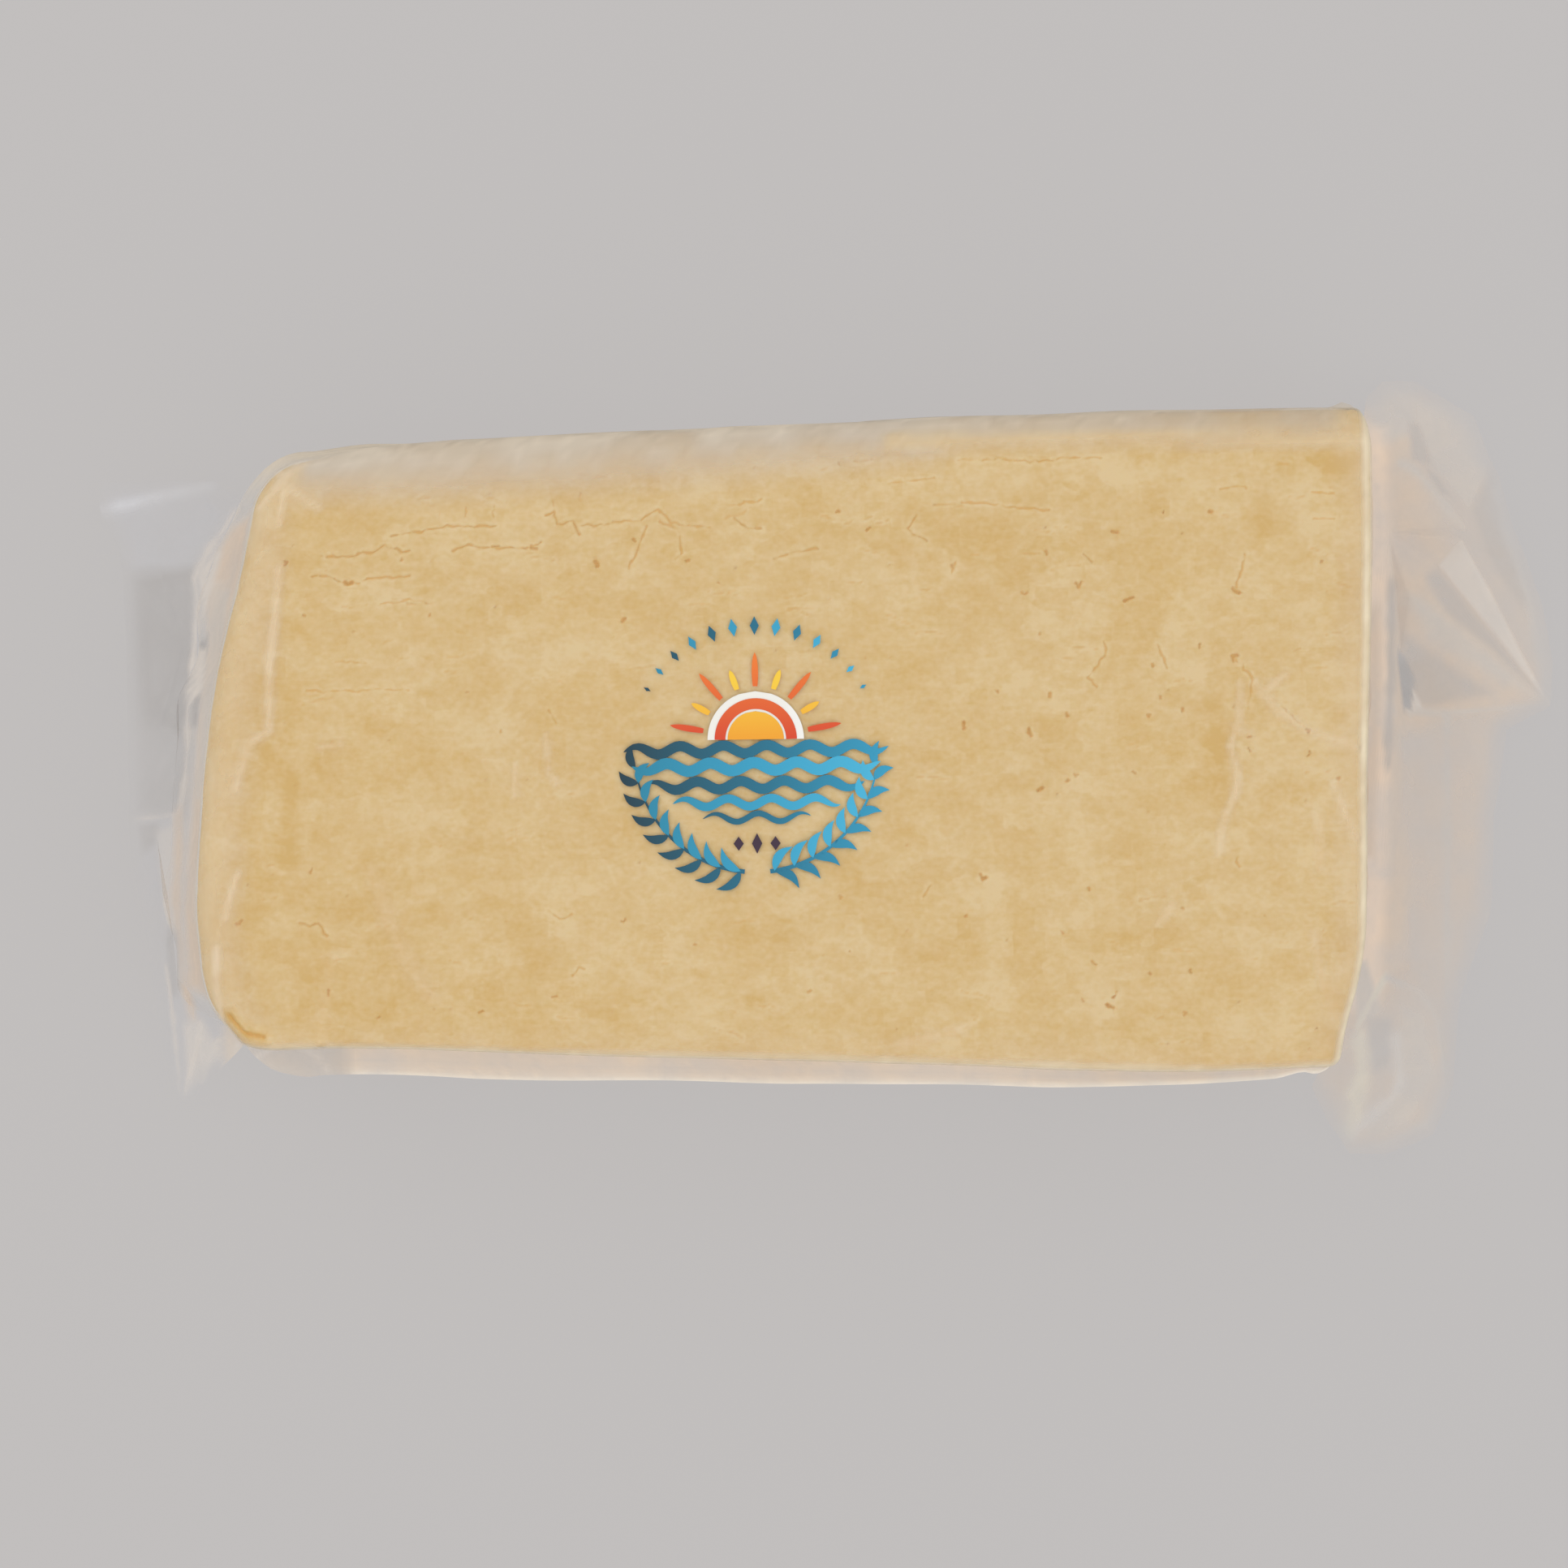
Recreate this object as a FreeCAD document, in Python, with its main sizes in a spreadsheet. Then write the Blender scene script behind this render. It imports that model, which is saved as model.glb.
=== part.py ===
# A block of halloumi sealed in a clear vacuum pouch, lying on its broad side.
#
# The pouch and the cheese in it are one closed solid: the outer shape of the film.
# Over the block the film is drawn tight, so there the solid is the block itself.
# Past each end the two sheets of film lie flat on each other as a crumpled wing,
# and along the near side they end in a narrow welded seam.
#
#   X  along the block, from its moulded left end to its cut right end
#   Y  across the block, +Y towards the far long edge
#   Z  up from the resting face
# The origin is the centre of the block's resting face. All sizes are millimetres.

import FreeCAD
import Part
import Sketcher
import math
import os

DOCUMENT_NAME = "halloumi_block"
NODE_NAME = "sealed_pouch"
LEVEL = 0.01          # an edge rising less than this along its length is level
WING_COLUMNS = 30     # facets of a wing along the block's end
WING_ROWS = 5         # facets of a wing from its foot out to its tip
# sets of creases in a wing: share of the height, how many along it, how far they slant
CREASES = ((0.65, 3.5, 0.2), (0.35, 7.8, -0.9))
START, STOP = 1, 2    # the two ends of a sketch's line or arc
SKETCH_ORIGIN = (-1, 1)   # the origin, as a sketch's constraints name it

SIZES = (
    # the block of cheese, with the film drawn tight on it
    ("block_length", 217.0, "left end's bulge to the far right corner"),
    ("depth_left", 107.0, "far edge to near edge at the left end"),
    ("depth_right", 122.5, "far edge to near edge at the right end"),
    ("thickness", 38.0, "resting face to top face"),
    ("far_left_inset", 11.5, "far left corner, in from the block's length"),
    ("near_left_inset", 2.5, "near left corner, in from the block's length"),
    ("near_right_inset", 6.0, "near right corner, in from the block's length"),
    ("left_bulge", 5.5, "rise of the left end's arc over its chord"),
    ("right_bulge", 2.0, "rise of the right end's arc over its chord"),
    ("far_slump", 8.0, "radius of the slumped far edge of the top face"),
    ("moulded_edge", 7.0, "radius of the left end's upright and top edges"),
    ("cut_edge", 2.0, "radius of every other edge"),
    # the welded seam along the near side
    ("seam_width", 5.0, "near side out to the seam's edge"),
    ("seam_thickness", 1.0, "the two sheets and what is creased between them"),
    ("seam_start", 18.0, "near left corner to the seam's left end"),
    ("seam_stop", 3.0, "near right corner to the seam's right end"),
    ("weld_height", 14.0, "resting face to the plane where the two sheets meet"),
    # the flattened film past the ends
    ("wing_thickness", 1.2, "the two sheets and the air creased between them"),
    ("tip_height", 6.0, "resting face to the drooping tip of a wing"),
    ("crumple", 2.2, "height of the creases in a wing"),
    ("left_tent", 8.0, "left end to where the two sheets meet"),
    ("left_reach_far", 34.0, "length of the left wing at the far corner"),
    ("left_reach_middle", 20.0, "length of the left wing at the middle"),
    ("left_reach_near", 11.0, "length of the left wing at the near corner"),
    ("left_ear_far", 5.0, "left wing's far corner past the block's far corner"),
    ("left_ear_near", 11.0, "left wing's near corner past the block's near corner"),
    ("right_tent", 3.0, "right end to where the two sheets meet"),
    ("right_reach_far", 16.0, "length of the right wing at the far corner"),
    ("right_reach_middle", 38.0, "length of the right wing at the middle"),
    ("right_reach_near", 26.0, "length of the right wing at the near corner"),
    ("right_ear_far", 7.0, "right wing's far corner past the block's far corner"),
    ("right_ear_near", 18.0, "right wing's near corner past the block's near corner"),
)


def make_sheet(doc):
    """Write the driving dimensions into the spreadsheet, one row each."""
    sheet = doc.addObject("Spreadsheet::Sheet", "Sizes")
    for row, (alias, value, note) in enumerate(SIZES, start=1):
        sheet.set(f"A{row}", alias)
        sheet.set(f"B{row}", str(value))
        sheet.set(f"C{row}", note)
        sheet.setAlias(f"B{row}", alias)
    doc.recompute()
    return sheet


def value_of(sheet, expression):
    """The number that an expression in the sheet's sizes comes to."""
    return sheet.evalExpression(expression.replace("Sizes.", ""))


def origin_plane(body, role):
    """The body's own origin plane of that role."""
    return next(item for item in body.Origin.OriginFeatures if item.Role == role)


def flat_sketch(body, name):
    """A sketch on the body's own level plane."""
    sketch = body.newObject("Sketcher::SketchObject", name)
    sketch.AttachmentSupport = (origin_plane(body, "XY_Plane"), [""])
    sketch.MapMode = "FlatFace"
    return sketch


def named_size(sketch, sheet, name, expression, kind, *held):
    """A sketch constraint with a name, bound to an expression in the sheet's sizes."""
    size = value_of(sheet, expression)
    index = sketch.addConstraint(Sketcher.Constraint(kind, *held, size))
    sketch.renameConstraint(index, name)
    sketch.setExpression(f"Constraints.{name}", expression)


def close_loop(sketch, loop):
    """Join each line or arc of the loop to the start of the next one."""
    for before, after in zip(loop, loop[1:] + loop[:1]):
        sketch.addConstraint(Sketcher.Constraint("Coincident", before, STOP, after, START))


def pin_point(sketch, sheet, name, point, place):
    """Hold a point of the sketch at its place: a side of the origin and a distance, twice."""
    for letter, (side, expression) in zip("xy", place):
        ends = SKETCH_ORIGIN + point if side > 0 else point + SKETCH_ORIGIN
        named_size(sketch, sheet, f"{name}_{letter}", expression, f"Distance{letter.upper()}", *ends)


def place_vector(sheet, place):
    """The point that a place names."""
    x, y = (side * value_of(sheet, expression) for side, expression in place)
    return FreeCAD.Vector(x, y, 0)


# ---------------------------------------------------------------- the block

# each corner of the outline: along X and along Y, the side of the origin and how far
CORNERS = {
    "far_left": ((-1, "Sizes.block_length / 2 - Sizes.far_left_inset"),
                 (1, "Sizes.depth_left / 2")),
    "near_left": ((-1, "Sizes.block_length / 2 - Sizes.near_left_inset"),
                  (-1, "Sizes.depth_left / 2")),
    "near_right": ((1, "Sizes.block_length / 2 - Sizes.near_right_inset"),
                   (-1, "Sizes.depth_right / 2")),
    "far_right": ((1, "Sizes.block_length / 2"),
                  (1, "Sizes.depth_right / 2")),
}


def bulged_arc(start, stop, bulge):
    """The arc that runs anticlockwise between two corners and bulges out of their chord."""
    chord = stop - start
    outward = FreeCAD.Vector(chord.y, -chord.x, 0).normalize()
    return Part.Arc(start, (start + stop) / 2 + outward * bulge, stop)


def bulge_radius(insets, depth, bulge):
    """The expression for a bulged arc's radius, from its chord and its bulge."""
    chord_squared = f"(({insets})^2 + Sizes.{depth}^2)"
    return f"({chord_squared} / 4 + Sizes.{bulge}^2) / (2 * Sizes.{bulge})"


def draw_outline(body, sheet):
    """The block's outline: two straight long edges between two bulged ends."""
    corner = {name: place_vector(sheet, place) for name, place in CORNERS.items()}
    sketch = flat_sketch(body, "Outline")
    far_edge = sketch.addGeometry(Part.LineSegment(corner["far_right"], corner["far_left"]))
    left_end = sketch.addGeometry(
        bulged_arc(corner["far_left"], corner["near_left"], sheet.left_bulge))
    near_edge = sketch.addGeometry(Part.LineSegment(corner["near_left"], corner["near_right"]))
    right_end = sketch.addGeometry(
        bulged_arc(corner["near_right"], corner["far_right"], sheet.right_bulge))
    close_loop(sketch, (far_edge, left_end, near_edge, right_end))

    held = {"far_right": (far_edge, START), "far_left": (far_edge, STOP),
            "near_left": (near_edge, START), "near_right": (near_edge, STOP)}
    for name, point in held.items():
        pin_point(sketch, sheet, name, point, CORNERS[name])
    left_insets = "Sizes.far_left_inset - Sizes.near_left_inset"
    named_size(sketch, sheet, "left_radius",
               bulge_radius(left_insets, "depth_left", "left_bulge"), "Radius", left_end)
    named_size(sketch, sheet, "right_radius",
               bulge_radius("Sizes.near_right_inset", "depth_right", "right_bulge"),
               "Radius", right_end)
    return sketch, {"left": left_end, "right": right_end}


def is_upright(edge):
    """Whether an edge runs straight up."""
    box = edge.BoundBox
    return box.XLength < LEVEL and box.YLength < LEVEL


def is_level_at(height):
    """A test for edges that lie level at that height."""
    def test(edge):
        box = edge.BoundBox
        return abs(box.ZMin - height) < LEVEL and abs(box.ZMax - height) < LEVEL
    return test


def edge_names(feature, test):
    """The names of the feature's edges that pass a test."""
    return [f"Edge{number}" for number, edge in enumerate(feature.Shape.Edges, start=1)
            if test(edge)]


def edge_nearest(feature, test, place):
    """The name of the edge that passes a test and whose middle is nearest to a place in plan."""
    def distance(name):
        edge = feature.Shape.getElement(name)
        middle = edge.valueAt((edge.FirstParameter + edge.LastParameter) / 2)
        return math.hypot(middle.x - place.x, middle.y - place.y)
    return min(edge_names(feature, test), key=distance)


def rounded(body, base, name, names, radius):
    """A fillet on some of the base feature's edges, with its radius from the sheet."""
    fillet = body.newObject("PartDesign::Fillet", name)
    fillet.Base = (base, names)
    fillet.setExpression("Radius", f"Sizes.{radius}")
    body.Document.recompute()
    return fillet


def make_block(doc, sheet):
    """The block: its outline raised to its thickness, then every edge rounded."""
    body = doc.addObject("PartDesign::Body", "Block")
    sketch, ends = draw_outline(body, sheet)
    doc.recompute()
    pad = body.newObject("PartDesign::Pad", "Raised")
    pad.Profile = sketch
    pad.setExpression("Length", "Sizes.thickness")
    doc.recompute()

    corner = {name: place_vector(sheet, place) for name, place in CORNERS.items()}
    at_top = is_level_at(sheet.thickness)
    far_middle = (corner["far_left"] + corner["far_right"]) / 2
    near_middle = (corner["near_left"] + corner["near_right"]) / 2
    right_middle = (corner["near_right"] + corner["far_right"]) / 2

    # the far edge has slumped furthest; it is rounded while its ends are still sharp
    slumped = rounded(body, pad, "Slumped_far_edge",
                      [edge_nearest(pad, at_top, far_middle)], "far_slump")
    # the left end took its shape from a mould: the rounding runs up and over its top
    moulded = rounded(body, slumped, "Moulded_left_end",
                      [edge_nearest(slumped, is_upright, corner[name])
                       for name in ("far_left", "near_left")], "moulded_edge")
    # the knife left the other edges nearly sharp
    cut = [edge_nearest(moulded, is_upright, corner[name])
           for name in ("far_right", "near_right")]
    cut += [edge_nearest(moulded, at_top, middle) for middle in (near_middle, right_middle)]
    cut += edge_names(moulded, is_level_at(0))
    rounded(body, moulded, "Cut_edges", cut, "cut_edge")
    return body, {end: sketch.Geometry[index] for end, index in ends.items()}


# ---------------------------------------------------------------- the seam

def make_seam(doc, sheet):
    """The narrow welded strip along the block's near side, where the two sheets end."""
    body = doc.addObject("PartDesign::Body", "Near_seam")
    sketch = flat_sketch(body, "Strip")
    sketch.setExpression("AttachmentOffset.Base.z",
                         "Sizes.weld_height - Sizes.seam_thickness / 2")
    # the strip follows the block's near edge, which flares outward along its length,
    # and its inner side starts inside the block
    flare = "(Sizes.depth_right - Sizes.depth_left) / 2"
    near_length = "(Sizes.block_length - Sizes.near_left_inset - Sizes.near_right_inset)"
    left_x = "Sizes.block_length / 2 - Sizes.near_left_inset - Sizes.seam_start"
    right_x = "Sizes.block_length / 2 - Sizes.near_right_inset - Sizes.seam_stop"
    left_y = f"Sizes.depth_left / 2 + {flare} * Sizes.seam_start / {near_length}"
    right_y = f"Sizes.depth_right / 2 - {flare} * Sizes.seam_stop / {near_length}"
    places = {
        "inner_left": ((-1, left_x), (-1, f"{left_y} - Sizes.cut_edge")),
        "outer_left": ((-1, left_x), (-1, f"{left_y} + Sizes.seam_width")),
        "outer_right": ((1, right_x), (-1, f"{right_y} + Sizes.seam_width")),
        "inner_right": ((1, right_x), (-1, f"{right_y} - Sizes.cut_edge")),
    }
    names = list(places)
    points = [place_vector(sheet, places[name]) for name in names]
    sides = tuple(sketch.addGeometry(Part.LineSegment(start, stop))
                  for start, stop in zip(points, points[1:] + points[:1]))
    close_loop(sketch, sides)
    for name, side in zip(names, sides):
        pin_point(sketch, sheet, name, (side, START), places[name])
    doc.recompute()
    pad = body.newObject("PartDesign::Pad", "Weld")
    pad.Profile = sketch
    pad.setExpression("Length", "Sizes.seam_thickness")
    doc.recompute()
    return body


# ---------------------------------------------------------------- the wings

def blend(first, second, share):
    """A number between two others."""
    return first + (second - first) * share


def through_three(first, middle, last, share):
    """The smooth curve through three sizes at shares 0, 1/2 and 1."""
    return (first * (1 - share) * (1 - 2 * share) + middle * 4 * share * (1 - share)
            + last * share * (2 * share - 1))


def zigzag(turns):
    """A wave of straight creases between -1 and 1, with one crest in each turn."""
    return 1 - 4 * abs(turns - math.floor(turns) - 0.5)


def crease(share, outward):
    """The height of the wing's creases, from -1 to 1, growing from its foot to its tip."""
    return outward * sum(height * zigzag(count * share + slant * outward)
                         for height, count, slant in CREASES)


def wing_column(sheet, end, end_arc, share):
    """Upper and lower points of the wing, from inside the block out to the tip."""
    outward = {"left": -1, "right": 1}[end]
    bury = {"left": sheet.moulded_edge, "right": sheet.cut_edge}[end] / 2
    depth = {"left": sheet.depth_left, "right": sheet.depth_right}[end]
    size = {name: getattr(sheet, f"{end}_{name}")
            for name in ("tent", "reach_far", "reach_middle", "reach_near", "ear_far", "ear_near")}

    # the left arc runs from far to near, the right arc from near to far
    along = share if end == "left" else 1 - share
    on_arc = end_arc.value(blend(end_arc.FirstParameter, end_arc.LastParameter, along))
    side_y = blend(depth / 2, -depth / 2, share)
    root_y = side_y * (1 - bury / (depth / 2))
    tip_y = blend(depth / 2 + size["ear_far"], -depth / 2 - size["ear_near"], share)
    reach = through_three(size["reach_far"], size["reach_middle"], size["reach_near"], share)

    root_x = on_arc.x - outward * bury
    top_of_tent = sheet.thickness - sheet.far_slump
    half_film = sheet.wing_thickness / 2
    upper = [FreeCAD.Vector(root_x, root_y, top_of_tent)]
    lower = [FreeCAD.Vector(root_x, root_y, sheet.weld_height - half_film)]
    for row in range(WING_ROWS + 1):
        out = row / WING_ROWS
        x = on_arc.x + outward * blend(size["tent"], reach, out)
        y = blend(root_y, tip_y, (size["tent"] + (reach - size["tent"]) * out) / reach)
        z = blend(sheet.weld_height, sheet.tip_height, out * out)
        z += sheet.crumple * crease(share, out)
        upper.append(FreeCAD.Vector(x, y, z + half_film))
        lower.append(FreeCAD.Vector(x, y, z - half_film))
    return upper, lower


def facet(*corners):
    """A flat three-cornered face."""
    return Part.Face(Part.makePolygon(list(corners) + [corners[0]]))


def strip_facets(first, second):
    """The facets between two rows of points of the same length."""
    faces = []
    for (a, b), (c, d) in zip(zip(first, first[1:]), zip(second, second[1:])):
        faces += [facet(a, b, d), facet(a, d, c)]
    return faces


def make_wing(doc, sheet, end, end_arc):
    """The crumpled wing of flattened film past one end of the block."""
    columns = [wing_column(sheet, end, end_arc, number / WING_COLUMNS)
               for number in range(WING_COLUMNS + 1)]
    faces = []
    for (upper, lower), (next_upper, next_lower) in zip(columns, columns[1:]):
        faces += strip_facets(upper, next_upper)
        faces += strip_facets(lower, next_lower)
        faces += strip_facets([upper[0], lower[0]], [next_upper[0], next_lower[0]])
        faces += strip_facets([upper[-1], lower[-1]], [next_upper[-1], next_lower[-1]])
    for upper, lower in (columns[0], columns[-1]):
        faces += strip_facets(upper, lower)
    wing = doc.addObject("Part::Feature", f"{end.capitalize()}_wing")
    wing.Shape = Part.makeSolid(Part.makeShell(faces))
    wing.Placement = FreeCAD.Placement()
    return wing


# ---------------------------------------------------------------- the whole

def check(doc, node):
    """Stop if anything in the document failed, or if the pouch isn't one sound solid."""
    failed = [item.Name for item in doc.Objects if {"Invalid", "Error"} & set(item.State)]
    if failed:
        raise RuntimeError(f"failed: {failed}")
    shape = node.Shape
    if shape.isNull() or not shape.isValid() or len(shape.Solids) != 1:
        raise RuntimeError(f"{node.Label} isn't one sound solid")


def main():
    doc = FreeCAD.newDocument(DOCUMENT_NAME)
    sheet = make_sheet(doc)
    block, end_arcs = make_block(doc, sheet)
    seam = make_seam(doc, sheet)
    wings = [make_wing(doc, sheet, end, arc) for end, arc in end_arcs.items()]

    pouch = doc.addObject("Part::MultiFuse", "Pouch")
    pouch.Shapes = [block, seam] + wings
    pouch.Label = NODE_NAME
    pouch.Placement = FreeCAD.Placement()
    doc.recompute()
    check(doc, pouch)

    os.makedirs("parts", exist_ok=True)
    pouch.Shape.exportStep(os.path.join("parts", f"{pouch.Label}.step"))
    box = pouch.Shape.BoundBox
    print(f"{pouch.Label}: {pouch.Shape.Volume / 1000:.1f} cm3, "
          f"{box.XLength:.1f} x {box.YLength:.1f} x {box.ZLength:.1f} mm")


main()
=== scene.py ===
# %% [markdown]
# # A halloumi block in its clear vacuum pouch
# The object is a slab of pressed sheep's cheese, sealed in a thin clear pouch that clings to it.
# It could be drawn as one solid with a glossy yellow finish, but then the slack ends of the pouch
# and the film bridging the small holes would be lost. So there are three kinds of piece: the cheese
# itself, the film as thin sheets round it, and the ink on the film.

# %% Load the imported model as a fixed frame
import itertools
import math
import bmesh
import bpy
import numpy as np
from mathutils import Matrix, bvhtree, kdtree
from mathutils.geometry import delaunay_2d_cdt


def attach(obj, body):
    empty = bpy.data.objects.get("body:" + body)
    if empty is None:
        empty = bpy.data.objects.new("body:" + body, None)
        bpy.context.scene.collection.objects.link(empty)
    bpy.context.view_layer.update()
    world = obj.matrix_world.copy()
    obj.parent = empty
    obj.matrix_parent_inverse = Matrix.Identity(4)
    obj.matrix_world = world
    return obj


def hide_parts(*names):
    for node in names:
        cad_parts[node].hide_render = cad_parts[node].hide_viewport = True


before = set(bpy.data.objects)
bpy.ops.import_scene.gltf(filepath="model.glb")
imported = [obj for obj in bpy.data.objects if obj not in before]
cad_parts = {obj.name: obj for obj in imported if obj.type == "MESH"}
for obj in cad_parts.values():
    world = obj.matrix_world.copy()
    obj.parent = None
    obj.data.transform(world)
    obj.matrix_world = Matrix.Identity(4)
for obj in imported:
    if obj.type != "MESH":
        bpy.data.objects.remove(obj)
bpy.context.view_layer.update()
MM = 0.001
print("frame nodes:", sorted(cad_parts))

# %% [markdown]
# ## Room, light and camera
# The block lies on a pale table under broad daylight from the near right, so its shadow is hardly
# there. A bright even world gives most of the light, and two large lamps at opposite corners brighten
# the rims. Together they bring a colour back about as it is written. The camera looks straight down.

# %% Colours and nodes: one function each
def colour(code):
    """An sRGB hex colour as the linear numbers that a shader takes."""
    parts = [int(code[place:place + 2], 16) / 255 for place in (1, 3, 5)]
    return [p / 12.92 if p <= 0.04045 else ((p + 0.055) / 1.055) ** 2.4 for p in parts] + [1.0]


def add_node(tree, kind, inputs=None, **settings):
    """Adds a node, with its settings, and with a value or a link for each input named."""
    node = tree.nodes.new(kind)
    for name, value in settings.items():
        setattr(node, name, value)
    for name, value in (inputs or {}).items():
        if isinstance(value, bpy.types.NodeSocket):
            tree.links.new(value, node.inputs[name])
        else:
            node.inputs[name].default_value = value
    return node


def new_material(name):
    """An empty node material and its output node."""
    material = bpy.data.materials.new(name)
    material.use_nodes = True
    material.node_tree.nodes.clear()
    return material, add_node(material.node_tree, "ShaderNodeOutputMaterial")


# %% Camera, lamps and table
scene = bpy.context.scene
scene.view_settings.view_transform = "Standard"

CAMERA_PLACE = (-0.4, -6.6, 788.0)
CAMERA_TURN = -0.76
LENS = 93.17
SENSOR_WIDTH = 36.0
NEAREST_SEEN, FARTHEST_SEEN = 0.01, 50.0

camera_data = bpy.data.cameras.new("camera")
camera_data.lens = LENS
camera_data.sensor_width = SENSOR_WIDTH
camera_data.clip_start = NEAREST_SEEN
camera_data.clip_end = FARTHEST_SEEN
camera = bpy.data.objects.new("camera", camera_data)
camera.location = [value * MM for value in CAMERA_PLACE]
camera.rotation_euler = (0.0, 0.0, math.radians(CAMERA_TURN))
scene.collection.objects.link(camera)
scene.camera = camera

WORLD_LEVEL = 0.865
world = bpy.data.worlds.new("soft daylight")
world.use_nodes = True
background = world.node_tree.nodes["Background"]
background.inputs["Color"].default_value = colour("#FFFFFF")
background.inputs["Strength"].default_value = WORLD_LEVEL
scene.world = world


def add_lamp(name, place, size, power):
    """A square soft lamp, size metres across, that faces the block."""
    data = bpy.data.lights.new(name, "AREA")
    data.shape = "SQUARE"
    data.size = size
    data.energy = power
    lamp = bpy.data.objects.new(name, data)
    lamp.location = place
    direction = -lamp.location
    lamp.rotation_euler = direction.to_track_quat("-Z", "Y").to_euler()
    scene.collection.objects.link(lamp)


LAMP_SIZE = 1.4
add_lamp("window_near_right", (0.9, -1.3, 1.3), LAMP_SIZE, 5.0)
add_lamp("doorway_far_left", (-1.2, 1.2, 1.1), LAMP_SIZE, 7.0)

# %% Material: matt painted table
# The table is matt paint. Most of its colour is shown to the eye as it is, and a fifth takes the
# light, so the block's shadow stays as faint as under a cloudy sky.
TABLE_COLOUR = colour("#C4C1C0")
SHADOW_SHARE = 0.18
table_material, table_output = new_material("matt_painted_table")
tree = table_material.node_tree
table_lit = add_node(tree, "ShaderNodeBsdfDiffuse", {"Color": TABLE_COLOUR, "Roughness": 0.9})
table_plain = add_node(tree, "ShaderNodeEmission", {"Color": TABLE_COLOUR, "Strength": 1.0})
ray = add_node(tree, "ShaderNodeLightPath")
seen = ray.outputs["Is Camera Ray"]
for kind in ("Is Glossy Ray", "Is Transmission Ray"):
    seen = add_node(tree, "ShaderNodeMath", {0: seen, 1: ray.outputs[kind]}, operation="MAXIMUM").outputs[0]
plain_share = add_node(tree, "ShaderNodeMath", {0: seen, 1: 1 - SHADOW_SHARE}, operation="MULTIPLY")
shares = {0: plain_share.outputs[0], 1: table_lit.outputs[0], 2: table_plain.outputs[0]}
table_mix = add_node(tree, "ShaderNodeMixShader", shares)
tree.links.new(table_mix.outputs[0], table_output.inputs[0])

TABLE_HALF = 3.0
table_mesh = bpy.data.meshes.new("table")
table_corners = [(x * TABLE_HALF, y * TABLE_HALF, 0.0) for x, y in ((-1, -1), (1, -1), (1, 1), (-1, 1))]
table_mesh.from_pydata(table_corners, [], [(0, 1, 2, 3)])
table_mesh.materials.append(table_material)
table = bpy.data.objects.new("table", table_mesh)
scene.collection.objects.link(table)
print("camera height:", CAMERA_PLACE[2], "mm; world level:", WORLD_LEVEL)

# %% [markdown]
# ## The shape of the block
# Fresh curd is pressed in a tray and cut, so the slab has two cut sides, a moulded left end with a
# round rim, and a far edge that has slumped. One skin of points gives that shape, and both the
# cheese and the film start from it, so the film clings everywhere. The skin is a top sheet, a
# bottom sheet of the same layout and rows of wall between them. A cube with rounded edges would be
# quicker, but it couldn't be narrower at one end.

# %% Sizes of the block, in millimetres
THICKNESS = 38.0
FAR_SLUMP = 8.0
MOULDED_EDGE = 7.0
CUT_EDGE = 2.0
WELD_HEIGHT = 14.0
SPACING = 1.5

NEAR_SIDE = [
    (-101, -54.6), (-86, -54.3), (-42, -56.2), (-1, -57.4), (40, -59.2), (78.9, -60.8), (101.6, -60.2),
]
FAR_SIDE = [(-96.8, 53), (-77, 56.8), (-54.5, 58.6), (-9.5, 60), (35.5, 60.9), (80.5, 61.8), (108.7, 61.8)]
LEFT_SIDE = [
    (-101, -54.6), (-107.8, -46), (-109.9, -33.4), (-108.7, -10.3), (-105.4, 15.2), (-100.8, 34.6),
    (-96.8, 53),
]
RIGHT_SIDE = [
    (101.6, -60.2), (103.3, -52.2), (105.3, -45.6), (106.8, -38), (107.2, -26), (107.3, -5.6), (108.1, 15),
    (108.4, 31.9), (108.7, 61.8),
]


def curve_through(points, share):
    """Points at shares 0 to 1 of a smooth curve through a few chosen points."""
    points = np.array(points, float)
    steps = np.linalg.norm(np.diff(points, axis=0), axis=1)
    knots = np.concatenate([[0.0], np.cumsum(steps)]) / steps.sum()
    slopes = np.gradient(points, knots, axis=0)
    share = np.clip(np.asarray(share, float), 0.0, 1.0)
    cell = np.clip(np.searchsorted(knots, share, side="right") - 1, 0, len(steps) - 1)
    width = (knots[cell + 1] - knots[cell])[:, None]
    part = (share - knots[cell])[:, None] / width
    return (
        points[cell] * (1 + 2 * part) * (1 - part) ** 2
        + slopes[cell] * width * part * (1 - part) ** 2
        + points[cell + 1] * part**2 * (3 - 2 * part)
        + slopes[cell + 1] * width * part**2 * (part - 1)
    )


def smooth_noise(points, size, seed):
    """A soft random value from -1 to 1 at each point, with bumps about size millimetres across."""
    grain = 32
    lattice = np.random.default_rng(seed).uniform(-1, 1, (grain, grain, grain))
    place = np.asarray(points, float) / size + 100.0
    cell = np.floor(place).astype(int)
    part = place - cell
    part = part * part * (3 - 2 * part)
    total = np.zeros(len(place))
    for corner in itertools.product((0, 1), repeat=3):
        index = (cell + corner) % grain
        weight = np.prod(np.where(np.array(corner) == 1, part, 1 - part), axis=1)
        total += weight * lattice[index[:, 0], index[:, 1], index[:, 2]]
    return total


# %% The skin: a top sheet, a bottom sheet and walls
RIM_STEPS = 7
WALL_ROWS = 17
MEAN_LENGTH = 211.0
MEAN_DEPTH = 115.0


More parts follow.
